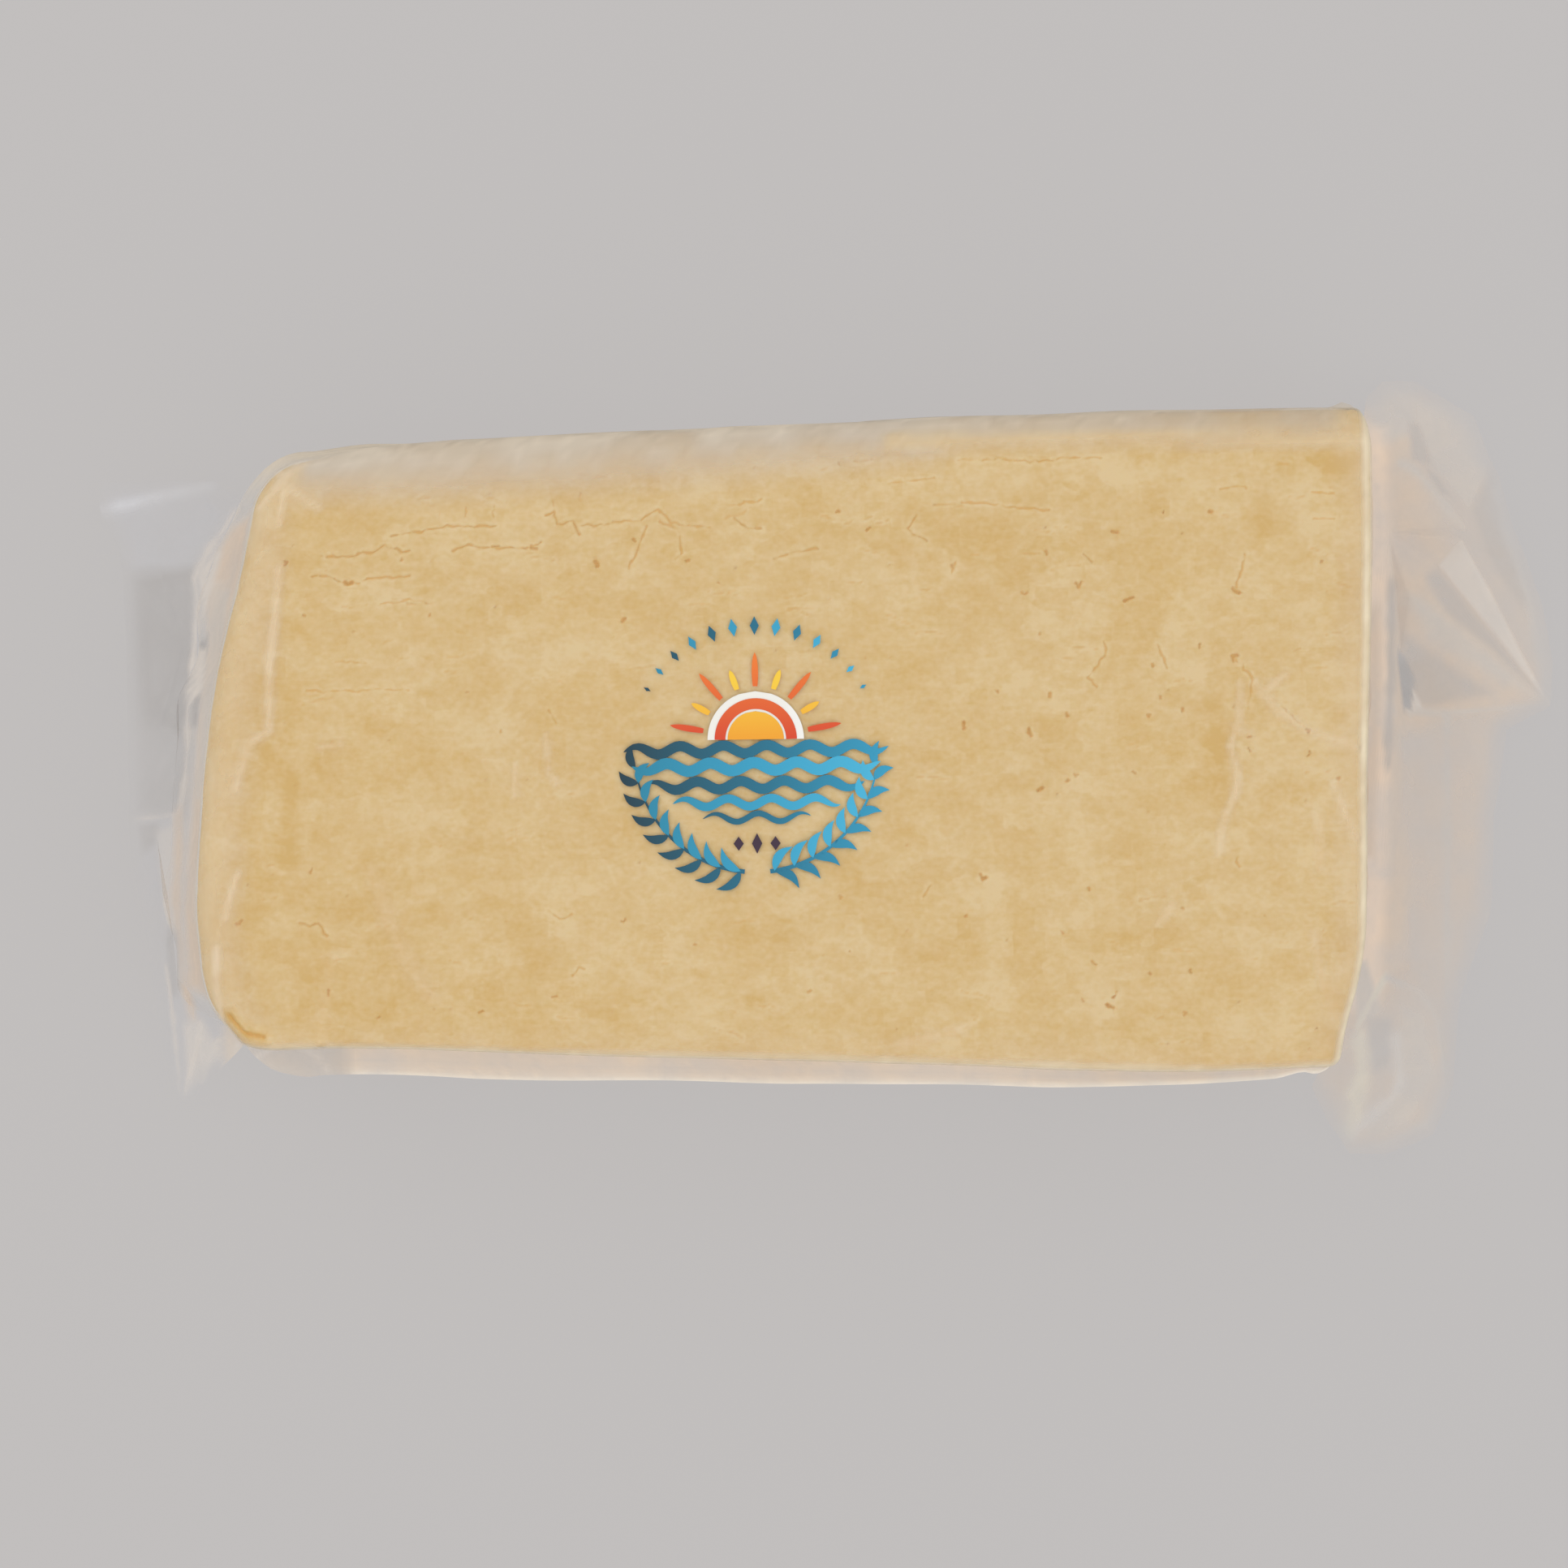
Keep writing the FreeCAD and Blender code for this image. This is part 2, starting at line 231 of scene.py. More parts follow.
def stations(length, first_radius, last_radius):
    """Distances along a side, closer together where the rims curve at both ends."""
    bend = np.linspace(0, math.pi / 2, RIM_STEPS + 1)
    first = first_radius * (1 - np.cos(bend))
    last = length - (last_radius * (1 - np.cos(bend)))[::-1]
    count = round((length - first_radius - last_radius) / SPACING)
    middle = np.linspace(first_radius, length - last_radius, count + 1)
    return np.concatenate([first, middle[1:-1], last])


# %% The outline with its rounded rims
# Where an end's rim meets a side's, the grid is pulled in so that the corner is round as well.
from_left, from_near = np.meshgrid(
    stations(MEAN_LENGTH, MOULDED_EDGE, CUT_EDGE),
    stations(MEAN_DEPTH, CUT_EDGE, FAR_SLUMP),
    indexing="ij",
)
GRID = from_left.shape
at_left = np.clip(1 - from_left / MOULDED_EDGE, 0, 1)
at_right = np.clip(1 - (MEAN_LENGTH - from_left) / CUT_EDGE, 0, 1)
at_near = np.clip(1 - from_near / CUT_EDGE, 0, 1)
at_far = np.clip(1 - (MEAN_DEPTH - from_near) / FAR_SLUMP, 0, 1)
at_end = np.maximum(at_left, at_right)
at_side = np.maximum(at_near, at_far)
end_pull = 1 - np.sqrt(1 - at_side**2 / 2)
side_pull = 1 - np.sqrt(1 - at_end**2 / 2)
along = from_left + MOULDED_EDGE * at_left * end_pull - CUT_EDGE * at_right * end_pull
across = from_near + CUT_EDGE * at_near * side_pull - FAR_SLUMP * at_far * side_pull
u = (along / MEAN_LENGTH).ravel()
v = (across / MEAN_DEPTH).ravel()
near_right, near_left = np.array(NEAR_SIDE[-1]), np.array(NEAR_SIDE[0])
far_right, far_left = np.array(FAR_SIDE[-1]), np.array(FAR_SIDE[0])
U, V = u[:, None], v[:, None]
plan = (
    (1 - V) * curve_through(NEAR_SIDE, u)
    + V * curve_through(FAR_SIDE, u)
    + (1 - U) * curve_through(LEFT_SIDE, v)
    + U * curve_through(RIGHT_SIDE, v)
    - (1 - U) * (1 - V) * near_left
    - U * (1 - V) * near_right
    - (1 - U) * V * far_left
    - U * V * far_right
)
end_part = (at_end * (1 - end_pull)).ravel()
side_part = (at_side * (1 - side_pull)).ravel()
towards_rim = np.minimum(np.hypot(end_part, side_part), 1.0)
end_radius = np.where(at_left > 0, MOULDED_EDGE, CUT_EDGE).ravel()
side_radius = np.where(at_far > 0, FAR_SLUMP, CUT_EDGE).ravel()
share_sum = np.maximum(end_part**2 + side_part**2, 1e-9)
rim_radius = (end_part**2 * end_radius + side_part**2 * side_radius) / share_sum
rim_drop = rim_radius * (1 - np.sqrt(1 - towards_rim**2))
inset = np.where(towards_rim > 0, (1 - towards_rim) * rim_radius, CUT_EDGE)
below = np.clip(CUT_EDGE - inset, 0, CUT_EDGE)
foot_rise = CUT_EDGE - np.sqrt(CUT_EDGE**2 - below**2)

top_points = np.column_stack([plan, THICKNESS - rim_drop])
bottom_points = np.column_stack([plan, foot_rise])
index = np.arange(GRID[0] * GRID[1]).reshape(GRID)
ring = np.concatenate([index[:-1, 0], index[-1, :-1], index[:0:-1, -1], index[0, :0:-1]])
quads = np.stack([index[:-1, :-1], index[1:, :-1], index[1:, 1:], index[:-1, 1:]], axis=-1).reshape(-1, 4)
print("skin grid:", GRID, "ring:", len(ring))


# %% Rows of wall, and the closed skin
def rows_between(upper, lower, rows):
    """Points in even rows from an upper ring down to a lower one, both left out."""
    steps = np.linspace(0, 1, rows + 2)[1:-1, None, None]
    return (upper[None] * (1 - steps) + lower[None] * steps).reshape(-1, 3)


def ring_faces(rings):
    """Quads that join each ring of point numbers to the next one below it."""
    faces = []
    for upper, lower in zip(rings[:-1], rings[1:]):
        faces.append(np.stack([upper, lower, np.roll(lower, -1), np.roll(upper, -1)], axis=-1))
    return np.concatenate(faces)


def close_block():
    """The whole skin as points and quads: top, bottom turned over, and walls."""
    count = len(top_points)
    wall = rows_between(top_points[ring], bottom_points[ring], WALL_ROWS)
    points = np.concatenate([top_points, bottom_points, wall])
    rows = 2 * count + np.arange(len(wall)).reshape(WALL_ROWS, len(ring))
    rings = [ring, *rows, ring + count]
    faces = np.concatenate([quads, quads[:, ::-1] + count, ring_faces(rings)])
    return points, faces


def point_normals(points, faces):
    """Outward directions at the points of a closed mesh of quads."""
    corners = points[faces]
    normal = np.cross(corners[:, 2] - corners[:, 0], corners[:, 3] - corners[:, 1])
    total = np.zeros_like(points)
    for corner in range(4):
        np.add.at(total, faces[:, corner], normal)
    return total / np.maximum(np.linalg.norm(total, axis=1, keepdims=True), 1e-9)


# %% The skin with the slow swell of a hand-pressed slab
LONG_SWELL = 0.5
SHORT_SWELL = 0.22
CALM_FOOT = 4.0
LEAST_SWELL = 0.05
FLOOR_GAP = 0.5

skin, skin_faces = close_block()
outward = point_normals(skin, skin_faces)
swell = LONG_SWELL * smooth_noise(skin, 45.0, 1) + SHORT_SWELL * smooth_noise(skin, 16.0, 2)
swell *= np.clip(skin[:, 2] / CALM_FOOT, LEAST_SWELL, 1.0)
skin = skin + outward * swell[:, None]
skin[:, 2] = np.maximum(skin[:, 2], 0.0) + FLOOR_GAP
outward = point_normals(skin, skin_faces)
print("skin points:", len(skin), "height:", round(skin[:, 2].max(), 2))

# %% The height of the top at any place
TOP_COUNT = len(top_points)
TOP = slice(0, TOP_COUNT)
BOTTOM = slice(TOP_COUNT, 2 * TOP_COUNT)
top_tree = kdtree.KDTree(len(top_points))
for number, (x, y, _) in enumerate(skin[TOP]):
    top_tree.insert((x, y, 0.0), number)
top_tree.balance()


SOFTEST_WEIGHT = 0.05


def height_on_top(x, y):
    """Height of the skin over a place on the top, from the four nearest skin points."""
    total = 0.0
    weights = 0.0
    for _, number, distance in top_tree.find_n((x, y, 0.0), 4):
        weight = 1.0 / (distance + SOFTEST_WEIGHT)
        total += weight * skin[number, 2]
        weights += weight
    return total / weights


# %% [markdown]
# ## Curd holes and knit lines
# Halloumi is folded and pressed from lumps of curd that never quite join. What is left are thin
# level cracks where two lumps met, and small pits that hold a little whey and look warmer than
# the rest. They could be painted on, but the low light catches their edges, so each one is sunk
# into the mesh. The mesh is only cut finer next to a hole, which keeps it light.

# %% The larger cracks and pits on the top face, listed one by one
# Each crack is its half width and depth in millimetres, and the points that it runs through.
TOP_CRACKS = [
    (0.27, 0.25, [(-84.3, 36.5), (-79, 36.6), (-75.6, 37.3), (-73.8, 38.4), (-71, 37.6), (-69, 37.4)]),
    (0.24, 0.22, [(-72.4, 40.1), (-68.9, 40.7), (-64.9, 41.5), (-61.9, 41.9), (-53, 41.8)]),
    (0.27, 0.25, [(-61, 37.3), (-57.9, 38), (-53.5, 37.8), (-47.4, 37.6), (-44.7, 38.7)]),
    (0.24, 0.20, [(-87, 32.8), (-84.2, 32.8), (-80.5, 31.4), (-76.5, 32.3), (-69, 32.8)]),
    (0.27, 0.25, [(-43.8, 43.6), (-42.5, 44.4), (-41.6, 41.7), (-38.9, 42.7), (-37.6, 40)]),
    (0.21, 0.18, [(-37, 41.6), (-26, 42.6), (-23, 44.2), (-19.8, 41.6), (-13.6, 41)]),
    (0.24, 0.22, [(-8.9, 42.6), (-6.3, 40.9), (-4, 40.6)]),
    (0.17, 0.14, [(-11.6, 45), (-7.5, 45.2), (-3.9, 46.1)]),
    (0.24, 0.20, [(-1.7, 35), (1.7, 36.1), (6.5, 36.8)]),
    (0.17, 0.14, [(18.6, 48.5), (23, 49), (28.1, 49.6)]),
    (0.19, 0.16, [(33.1, 44.9), (37, 44.9), (44.5, 43.8), (49.2, 43.4)]),
    (0.25, 0.22, [(24.7, 42.7), (23.2, 40.3), (24.2, 39), (26.6, 37.9)]),
    (0.19, 0.16, [(32.5, 52.7), (36, 53), (41, 53), (45.8, 52.3), (52.4, 52.9), (58.9, 52.8)]),
    (0.17, 0.14, [(80.9, 46.8), (83, 47.1), (85.7, 46.9)]),
    (0.17, 0.11, [(97.7, 46), (101.8, 45.8)]),
    (0.17, 0.11, [(98, 41), (101.8, 41)]),
    (0.24, 0.20, [(85.2, 34.7), (84.6, 32), (83.6, 28.6)]),
    (0.18, 0.14, [(-74.8, 27.5), (-69.1, 28.1), (-66, 27.7)]),
    (0.16, 0.11, [(-82.9, 17.1), (-77.2, 16.8)]),
    (0.16, 0.11, [(-88.4, 11.8), (-81.2, 11.6), (-74, 11.9), (-69.5, 11.6)]),
    (0.30, 0.25, [(-90.1, -31.1), (-88.2, -31.7), (-86.5, -31.4), (-85.2, -33.5)]),
    (0.24, 0.18, [(-44.2, -29.4), (-42.6, -30.8), (-41.2, -31), (-39.9, -30.1)]),
    (0.20, 0.16, [(-43.7, 7.6), (-42.3, 5.1)]),
    (0.22, 0.18, [(-39.9, -41.5), (-38.7, -40), (-37.8, -40.3)]),
    (0.18, 0.16, [(26.6, -25.6), (25.6, -27), (25, -28.4)]),
    (0.22, 0.20, [(55.5, 35.1), (57, 33.6)]),
    (0.20, 0.18, [(58.9, 19), (59.6, 17.4), (57.9, 14.7), (56.2, 12.6), (57.6, 10.6)]),
    (0.18, 0.16, [(82.8, 15.9), (84.6, 14.4), (86.3, 11.5), (85.5, 6.3)]),
    (0.18, 0.16, [(91.6, 6.6), (96.5, 2.1)]),
    (0.17, 0.14, [(13.3, 52.9), (16.7, 53.2)]),
    (0.16, 0.14, [(-63.3, 44.2), (-63.5, 42.4)]),
    (0.16, 0.14, [(-58.5, 45.2), (-58.6, 43.6)]),
    (0.16, 0.14, [(-53.3, 45.6), (-53.4, 43.4)]),
    (0.18, 0.16, [(-42.5, 46.5), (-42.3, 45.4)]),
    (0.16, 0.14, [(-37.3, 47.6), (-37.4, 46.2)]),
    (0.22, 0.20, [(-25.1, 41.4), (-26.5, 38.2), (-28.5, 33.6)]),
    (0.22, 0.20, [(-22.7, 42.2), (-19.3, 40.8), (-18.6, 36.5), (-20, 35.2)]),
    (0.80, 0.45, [(-103.6, -48.3), (-101.6, -50.7), (-99.7, -51.9), (-97.3, -52.1)]),
    (0.20, 0.16, [(83.4, -21), (82.9, -22.1), (83.6, -23)]),
    (0.19, 0.16, [(31.8, 34), (31, 31.8)]),
    (0.19, 0.18, [(69, 18.2), (70.6, 13.9)]),
]

# Each pit is its half width and depth, and a middle.
TOP_PITS = [
    (0.65, 0.51, (-91.7, 35.6)), (0.50, 0.35, (-70.5, 35.9)), (0.79, 0.59, (-80.5, 31.4)),
    (0.65, 0.55, (-34.4, 34.5)), (0.43, 0.27, (-88.5, 25.6)), (0.36, 0.23, (-65.5, 25.3)),
    (0.36, 0.23, (-79.7, 22.7)), (0.43, 0.31, (-58.7, 11.1)), (0.36, 0.23, (-59.4, 0)),
    (0.29, 0.20, (-52.6, 4)), (0.43, 0.31, (-87.8, -21.3)), (0.50, 0.35, (-101.4, -31.1)),
    (0.50, 0.43, (-85.1, -43.9)), (0.43, 0.35, (-57.4, -48.1)), (0.36, 0.27, (-75.8, -48.7)),
    (0.43, 0.31, (-43.2, -45.3)), (0.36, 0.23, (10.3, 52.5)), (0.50, 0.39, (10.3, 43.7)),
    (0.50, 0.35, (16.1, 40.6)), (0.58, 0.43, (31.3, 32.9)), (0.58, 0.43, (-29.4, 24.4)),
    (0.36, 0.23, (-12.1, 30.8)), (0.43, 0.31, (-30.4, -31.7)), (0.36, 0.27, (-17, -36.1)),
    (0.36, 0.23, (10, -27.7)), (0.72, 0.62, (36.1, -24.6)), (0.43, 0.31, (32.6, -31.5)),
    (0.36, 0.27, (11.2, -37.7)), (0.36, 0.27, (3.9, -44.8)), (0.50, 0.39, (48.6, 35.8)),
    (0.65, 0.51, (61.1, 39.2)), (0.50, 0.39, (54.5, 29.1)), (0.43, 0.31, (44.5, 27.8)),
    (0.58, 0.47, (63.8, 26.8)), (0.65, 0.51, (78.7, 42.6)), (0.58, 0.47, (83.2, 28)),
    (0.50, 0.39, (99.6, 33.3)), (0.50, 0.43, (76.6, 18)), (0.43, 0.35, (68, 14.5)),
    (0.36, 0.27, (47.2, 20.4)), (0.36, 0.23, (94.6, 17)), (0.50, 0.39, (39.4, 9.8)),
    (0.43, 0.35, (49, 8.9)), (0.65, 0.55, (45, 2.3)), (0.72, 0.59, (32.9, 3.2)), (0.50, 0.39, (69.4, 8.4)),
    (0.43, 0.35, (67, 5.3)), (0.43, 0.35, (73.4, 6.1)), (0.50, 0.39, (51.8, -6.8)),
    (0.43, 0.31, (53.3, -5.5)), (0.50, 0.47, (46.5, -8.4)), (0.43, 0.35, (64.1, -5.2)),
    (0.43, 0.39, (85.8, 1)), (0.43, 0.39, (85.8, -1.7)), (0.58, 0.51, (96.8, 1.9)),
    (0.50, 0.43, (97, -2.3)), (0.43, 0.35, (101.9, -6.9)), (0.43, 0.31, (72.9, -30.4)),
    (0.43, 0.31, (55.7, -26.7)), (0.43, 0.35, (52.3, 5.2)), (0.50, 0.43, (60.4, -46.4)),
    (0.65, 0.62, (59.2, -48.5)), (0.43, 0.31, (56.3, -40.5)), (0.43, 0.31, (66.9, -42.6)),
    (0.43, 0.31, (73.4, -49.9)), (0.36, 0.27, (54.3, -47.5)), (0.43, 0.31, (50.4, -34.4)),
    (0.58, 0.47, (82.8, 15.9)), (0.50, 0.39, (-27.6, 39)), (0.50, 0.39, (-18, 35)),
    (0.58, 0.47, (-46.6, 37.7)), (0.58, 0.43, (-53.6, 38)), (0.29, 0.35, (70.3, 42.7)),
    (0.29, 0.35, (106, 26.2)), (0.29, 0.35, (74.1, -42.1)), (0.29, 0.35, (97.2, -53.2)),
]

# Where whey has gathered the curd is yellower, and where it was pressed hard it is paler. Each
# stain is its strength (yellower above 0), its half width and the line that it lies along.
STAINS = [
    (1, 1.5, [(-103.6, -47.6), (-101.6, -50.7), (-97.3, -52.4)]),
    (0.8, 2, [(-97.5, 1), (-91.7, -3), (-91.4, -10.8), (-92.4, -20.5)]),
    (0.6, 3.4, [(-77.8, -22), (-73, -33), (-67.6, -45)]),
    (0.8, 2.4, [(103.2, -36), (102.6, -45), (101.4, -51)]), (0.9, 2.2, [(100.1, -53.5), (100.8, -58)]),
    (0.9, 2.6, [(92, 51.2), (99, 51.6), (105, 51)]), (0.8, 2.4, [(79.6, 1.5), (80.1, -9.8)]),
    (0.9, 3, [(89.4, -9.1), (96.9, -7.7)]), (0.5, 6, [(33.8, 38.1), (41.2, 32.8)]),
    (0.5, 4, [(27.5, 28.9), (35, 28.6)]), (0.5, 5, [(66, -1), (74, -1.1)]),
    (0.7, 2.2, [(99.9, -13.8), (100.1, -18.3)]), (0.5, 4, [(89.4, 35.4), (88.6, 41)]),
    (0.5, 3, [(104.2, 27.1), (104, 34)]), (0.9, 1.8, [(78.8, 6.9), (79.1, 6.6)]),
    (0.8, 2.4, [(102.3, 3.6), (101.2, 6)]), (0.8, 2, [(-1.7, -35.2), (-1, -35.2)]),
    (0.8, 2, [(-6.6, -47), (-5.8, -47)]), (0.7, 2, [(21.6, -35.2), (22.4, -35.2)]),
    (0.7, 2, [(24.4, -47.3), (25.2, -47.3)]), (0.7, 2, [(-23.6, -43.9), (-22.6, -43.9)]),
    (0.7, 2, [(-76.2, 4.5), (-75, 4.5)]), (0.6, 2, [(-9, -33.6), (-7.8, -33.6)]),
    (0.6, 2.2, [(-84, -30), (-80, -27)]), (0.5, 4, [(-88, -48), (-70, -50.5)]),
    (-0.35, 13, [(96, -46), (97, 0), (97, 44)]), (0.35, 13, [(-98, -40), (-94, 30)]),
    (-0.8, 3, [(35.1, 50.1), (44, 49.6)]), (-0.9, 3.4, [(67.5, 49.1), (60, 50.4)]),
    (-0.8, 3, [(42.1, 17), (43, 13)]), (-0.7, 3.6, [(71.7, 20.2), (74.5, 13)]),
    (-0.6, 3.2, [(53.3, -17.7), (56, -22)]), (-0.7, 2.6, [(-29, 45.5), (-12, 46.5)]),
    (-0.7, 2.6, [(38, -24), (39, -48)]), (-0.5, 2.4, [(15, 41), (22, 46)]),
    (-0.7, 2, [(59, -47), (55, -44)]),
]

# %% Smaller holes, seeded on every face
# Ranges of length, half width and depth in millimetres; the counts are cracks, then pits.
draw = np.random.default_rng(17)
CRACK_LENGTHS = (1.5, 6.0)
CRACK_HALF_WIDTHS = (0.12, 0.2)
CRACK_DEPTHS = (0.08, 0.18)
PIT_HALF_WIDTHS = (0.2, 0.36)
PIT_DEPTH_SHARES = (0.6, 1.0)
TOP_SEEDED, WALL_SEEDED, BOTTOM_SEEDED = (90, 70), (60, 70), (70, 70)
STRAY = 0.35
TILT_SPREAD = 0.18
KINK_STEP, KINK_SPREAD, PIT_KINK = 1.1, 0.16, 0.7


def along_lines(points, step):
    """Points every step millimetres along a line of points."""
    if len(points) == 1:
        return points
    legs = []
    for first, second in zip(points[:-1], points[1:]):
        count = max(1, math.ceil(np.linalg.norm(second - first) / step))
        shares = np.linspace(0, 1, count, endpoint=False)[:, None]
        legs.append(first * (1 - shares) + second * shares)
    return np.concatenate(legs + [points[-1:]])


def wander(start, direction, side, length, bends):
    """A crack's points from start: it runs along direction and strays to the side."""
    reach = np.linspace(0, length, bends)
    stray = draw.uniform(-STRAY, STRAY, bends)
    return start + reach[:, None] * direction + stray[:, None] * side


def crack_at(number):
    """A thin crack that starts at a skin point and runs nearly level."""
    normal = outward[number]
    level = np.cross([0, 0, 1], normal) if abs(normal[2]) < 0.7 else np.array([1.0, 0.0, 0.0])
    side = np.cross(normal, level)
    turn = draw.normal(0, TILT_SPREAD)
    direction = level * math.cos(turn) + side * math.sin(turn)
    length = draw.uniform(*CRACK_LENGTHS)
    points = wander(skin[number], direction, side, length, 4)
    return draw.uniform(*CRACK_HALF_WIDTHS), draw.uniform(*CRACK_DEPTHS), points


def pit_at(number):
    """A small pit at a skin point."""
    half_width = draw.uniform(*PIT_HALF_WIDTHS)
    return half_width, half_width * draw.uniform(*PIT_DEPTH_SHARES), skin[number][None]


# %% Holes as lines in space
def on_top(entry):
    """A crack or pit placed by hand, with the height of the skin under each point."""
    half_width, depth, points = entry
    points = points if isinstance(points, list) else [points]
    return half_width, depth, np.array([(x, y, height_on_top(x, y)) for x, y in points])


def jagged(entry):
    """The same crack or pit with small kinks, as torn curd has."""
    half_width, depth, points = entry
    points = np.array(points, float).reshape(-1, 2)
    if len(points) > 1:
        points = along_lines(points, KINK_STEP)
        points[1:-1] += draw.normal(0, KINK_SPREAD, points[1:-1].shape)
        return half_width, depth, [tuple(point) for point in points]
    middle = points[0]
    before, after = draw.normal(0, PIT_KINK * half_width, (2, 2))
    return 0.8 * half_width, depth, [tuple(middle + before), tuple(middle), tuple(middle + after)]


inner_top = np.flatnonzero(towards_rim == 0)
wall_numbers = np.arange(2 * TOP_COUNT, len(skin))
bottom_numbers = inner_top + TOP_COUNT
main_holes = [on_top(jagged(entry)) for entry in TOP_CRACKS + TOP_PITS]
small_holes = []
faces_seeded = ((inner_top, *TOP_SEEDED), (wall_numbers, *WALL_SEEDED), (bottom_numbers, *BOTTOM_SEEDED))
for numbers, cracks, pits in faces_seeded:
    small_holes += [crack_at(number) for number in draw.choice(numbers, cracks)]
    small_holes += [pit_at(number) for number in draw.choice(numbers, pits)]
print("holes:", len(main_holes), "placed and", len(small_holes), "seeded")


# %% Cut the mesh finer near the holes, then sink them
def cut_finer(bm, rounds):
    """Quarters the faces whose middle is within reach of a spot, once for each round."""
    for spots, reach in rounds:
        tree = kdtree.KDTree(len(spots))
        for number, spot in enumerate(spots):
            tree.insert(spot, number)
        tree.balance()
        near = [face for face in bm.faces if tree.find(face.calc_center_median())[2] < reach]
        edges = list({edge for face in near for edge in face.edges})
        bmesh.ops.subdivide_edges(bm, edges=edges, cuts=1, use_grid_fill=True)
    bmesh.ops.triangulate(bm, faces=[face for face in bm.faces if len(face.verts) > 4])


def line_distance(points, line):
    """Distance from each point to a line of points."""
    if len(line) == 1:
        return np.linalg.norm(points - line[0], axis=1)
    nearest = np.full(len(points), np.inf)
    for first, second in zip(line[:-1], line[1:]):
        leg = second - first
        share = np.clip((points - first) @ leg / max(leg @ leg, 1e-9), 0, 1)
        gap = points - first - share[:, None] * leg
        nearest = np.minimum(nearest, np.linalg.norm(gap, axis=1))
    return nearest


def soft_step(value):
    """0 below 0, 1 above 1, and smooth between."""
    value = np.clip(value, 0, 1)
    return value * value * (3 - 2 * value)


def add_faces(bm, points, faces):
    """Adds points, and faces given by the numbers of their points, to a mesh being built."""
    vertices = [bm.verts.new(point) for point in points]
    for face in faces:
        bm.faces.new([vertices[number] for number in face])


def mesh_arrays(bm):
    """Positions and outward directions of a mesh being built."""
    bm.normal_update()
    points = np.array([vertex.co[:] for vertex in bm.verts])
    normals = np.array([vertex.normal[:] for vertex in bm.verts])
    return points, normals


cheese_bm = bmesh.new()
add_faces(cheese_bm, skin, skin_faces)
SPOT_STEP = 0.5
WIDE_REACH, MIDDLE_REACH, CLOSE_REACH = 1.3, 0.75, 0.6
main_spots = np.concatenate([along_lines(points, SPOT_STEP) for _, _, points in main_holes])
small_spots = np.concatenate([along_lines(points, SPOT_STEP) for _, _, points in small_holes])
all_spots = np.concatenate([main_spots, small_spots])
cut_finer(cheese_bm, [(all_spots, WIDE_REACH), (all_spots, MIDDLE_REACH), (main_spots, CLOSE_REACH)])
cheese_points, cheese_normals = mesh_arrays(cheese_bm)

# %% How far each point sinks, how warm it looks, and how stained it is
# A hole glows warmer the deeper it is, and a crack has pale pressed curd along both its sides.
SEEDED_GLOW = 0.55
MOST_GLOW = 0.85
LIP_STRENGTH = 0.5
LIP_WIDTH = 0.5
TOP_DEPTH = 5.0
ragged = 0.14 * smooth_noise(cheese_points, 0.6, 5) + 0.13 * smooth_noise(cheese_points, 1.6, 6)
sink = np.zeros(len(cheese_points))
warmth = np.zeros(len(cheese_points))
lip = np.zeros(len(cheese_points))
for number, (half_width, depth, line) in enumerate(main_holes + small_holes):
    reach = 2.0 * half_width + 0.6
    low, high = line.min(axis=0) - reach, line.max(axis=0) + reach
    near = np.flatnonzero(np.all((cheese_points > low) & (cheese_points < high), axis=1))
    distance = line_distance(cheese_points[near], line) + ragged[near]
    core = 1 - soft_step(distance / half_width)
    sink[near] = np.maximum(sink[near], depth * core)
    glow = (1 - soft_step(distance / (1.15 * half_width))) * min(0.44 + 0.45 * depth, MOST_GLOW)
    glow *= 1.0 if number < len(main_holes) else SEEDED_GLOW
    warmth[near] = np.maximum(warmth[near], glow)
    if len(line) > 3:
        beside = 1 - soft_step(np.abs(distance - 1.3 * half_width - LIP_WIDTH / 2) / LIP_WIDTH)
        lip[near] = np.maximum(lip[near], LIP_STRENGTH * beside)
stain = -lip
on_upper_face = cheese_points[:, 2] > THICKNESS - TOP_DEPTH
for strength, half_width, line in STAINS:
    uneven = 0.5 * half_width * smooth_noise(cheese_points, 2.4, 9)
    distance = line_distance(cheese_points[:, :2], np.array(line)) + uneven
    stain += strength * (1 - soft_step(distance / (1.3 * half_width))) * on_upper_face
CHEESE_FLOOR = 0.3
grain = 0.06 * smooth_noise(cheese_points, 2.2, 7) - 0.05 * np.abs(smooth_noise(cheese_points, 5.0, 8))
cheese_points = cheese_points + cheese_normals * (grain - sink)[:, None]
cheese_points[:, 2] = np.maximum(cheese_points[:, 2], CHEESE_FLOOR)
for vertex, point in zip(cheese_bm.verts, cheese_points):
    vertex.co = point
print("cheese points:", len(cheese_points), "faces:", len(cheese_bm.faces))


# %% Turn a built mesh into a piece
def finish_piece(name, bm, material, values=None):
    """A named piece in metres, smooth, with its values per point, its body and finish."""
    mesh = bpy.data.meshes.new(name)
    bmesh.ops.scale(bm, vec=(MM, MM, MM), verts=bm.verts)
    bm.to_mesh(mesh)
    bm.free()
    for title, numbers in (values or {}).items():
        mesh.attributes.new(title, "FLOAT", "POINT").data.foreach_set("value", numbers)
    mesh.shade_smooth()
    mesh.materials.append(material)
    piece = bpy.data.objects.new(name, mesh)
    scene.collection.objects.link(piece)
    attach(piece, "root")
    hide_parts("sealed_pouch")
    return piece


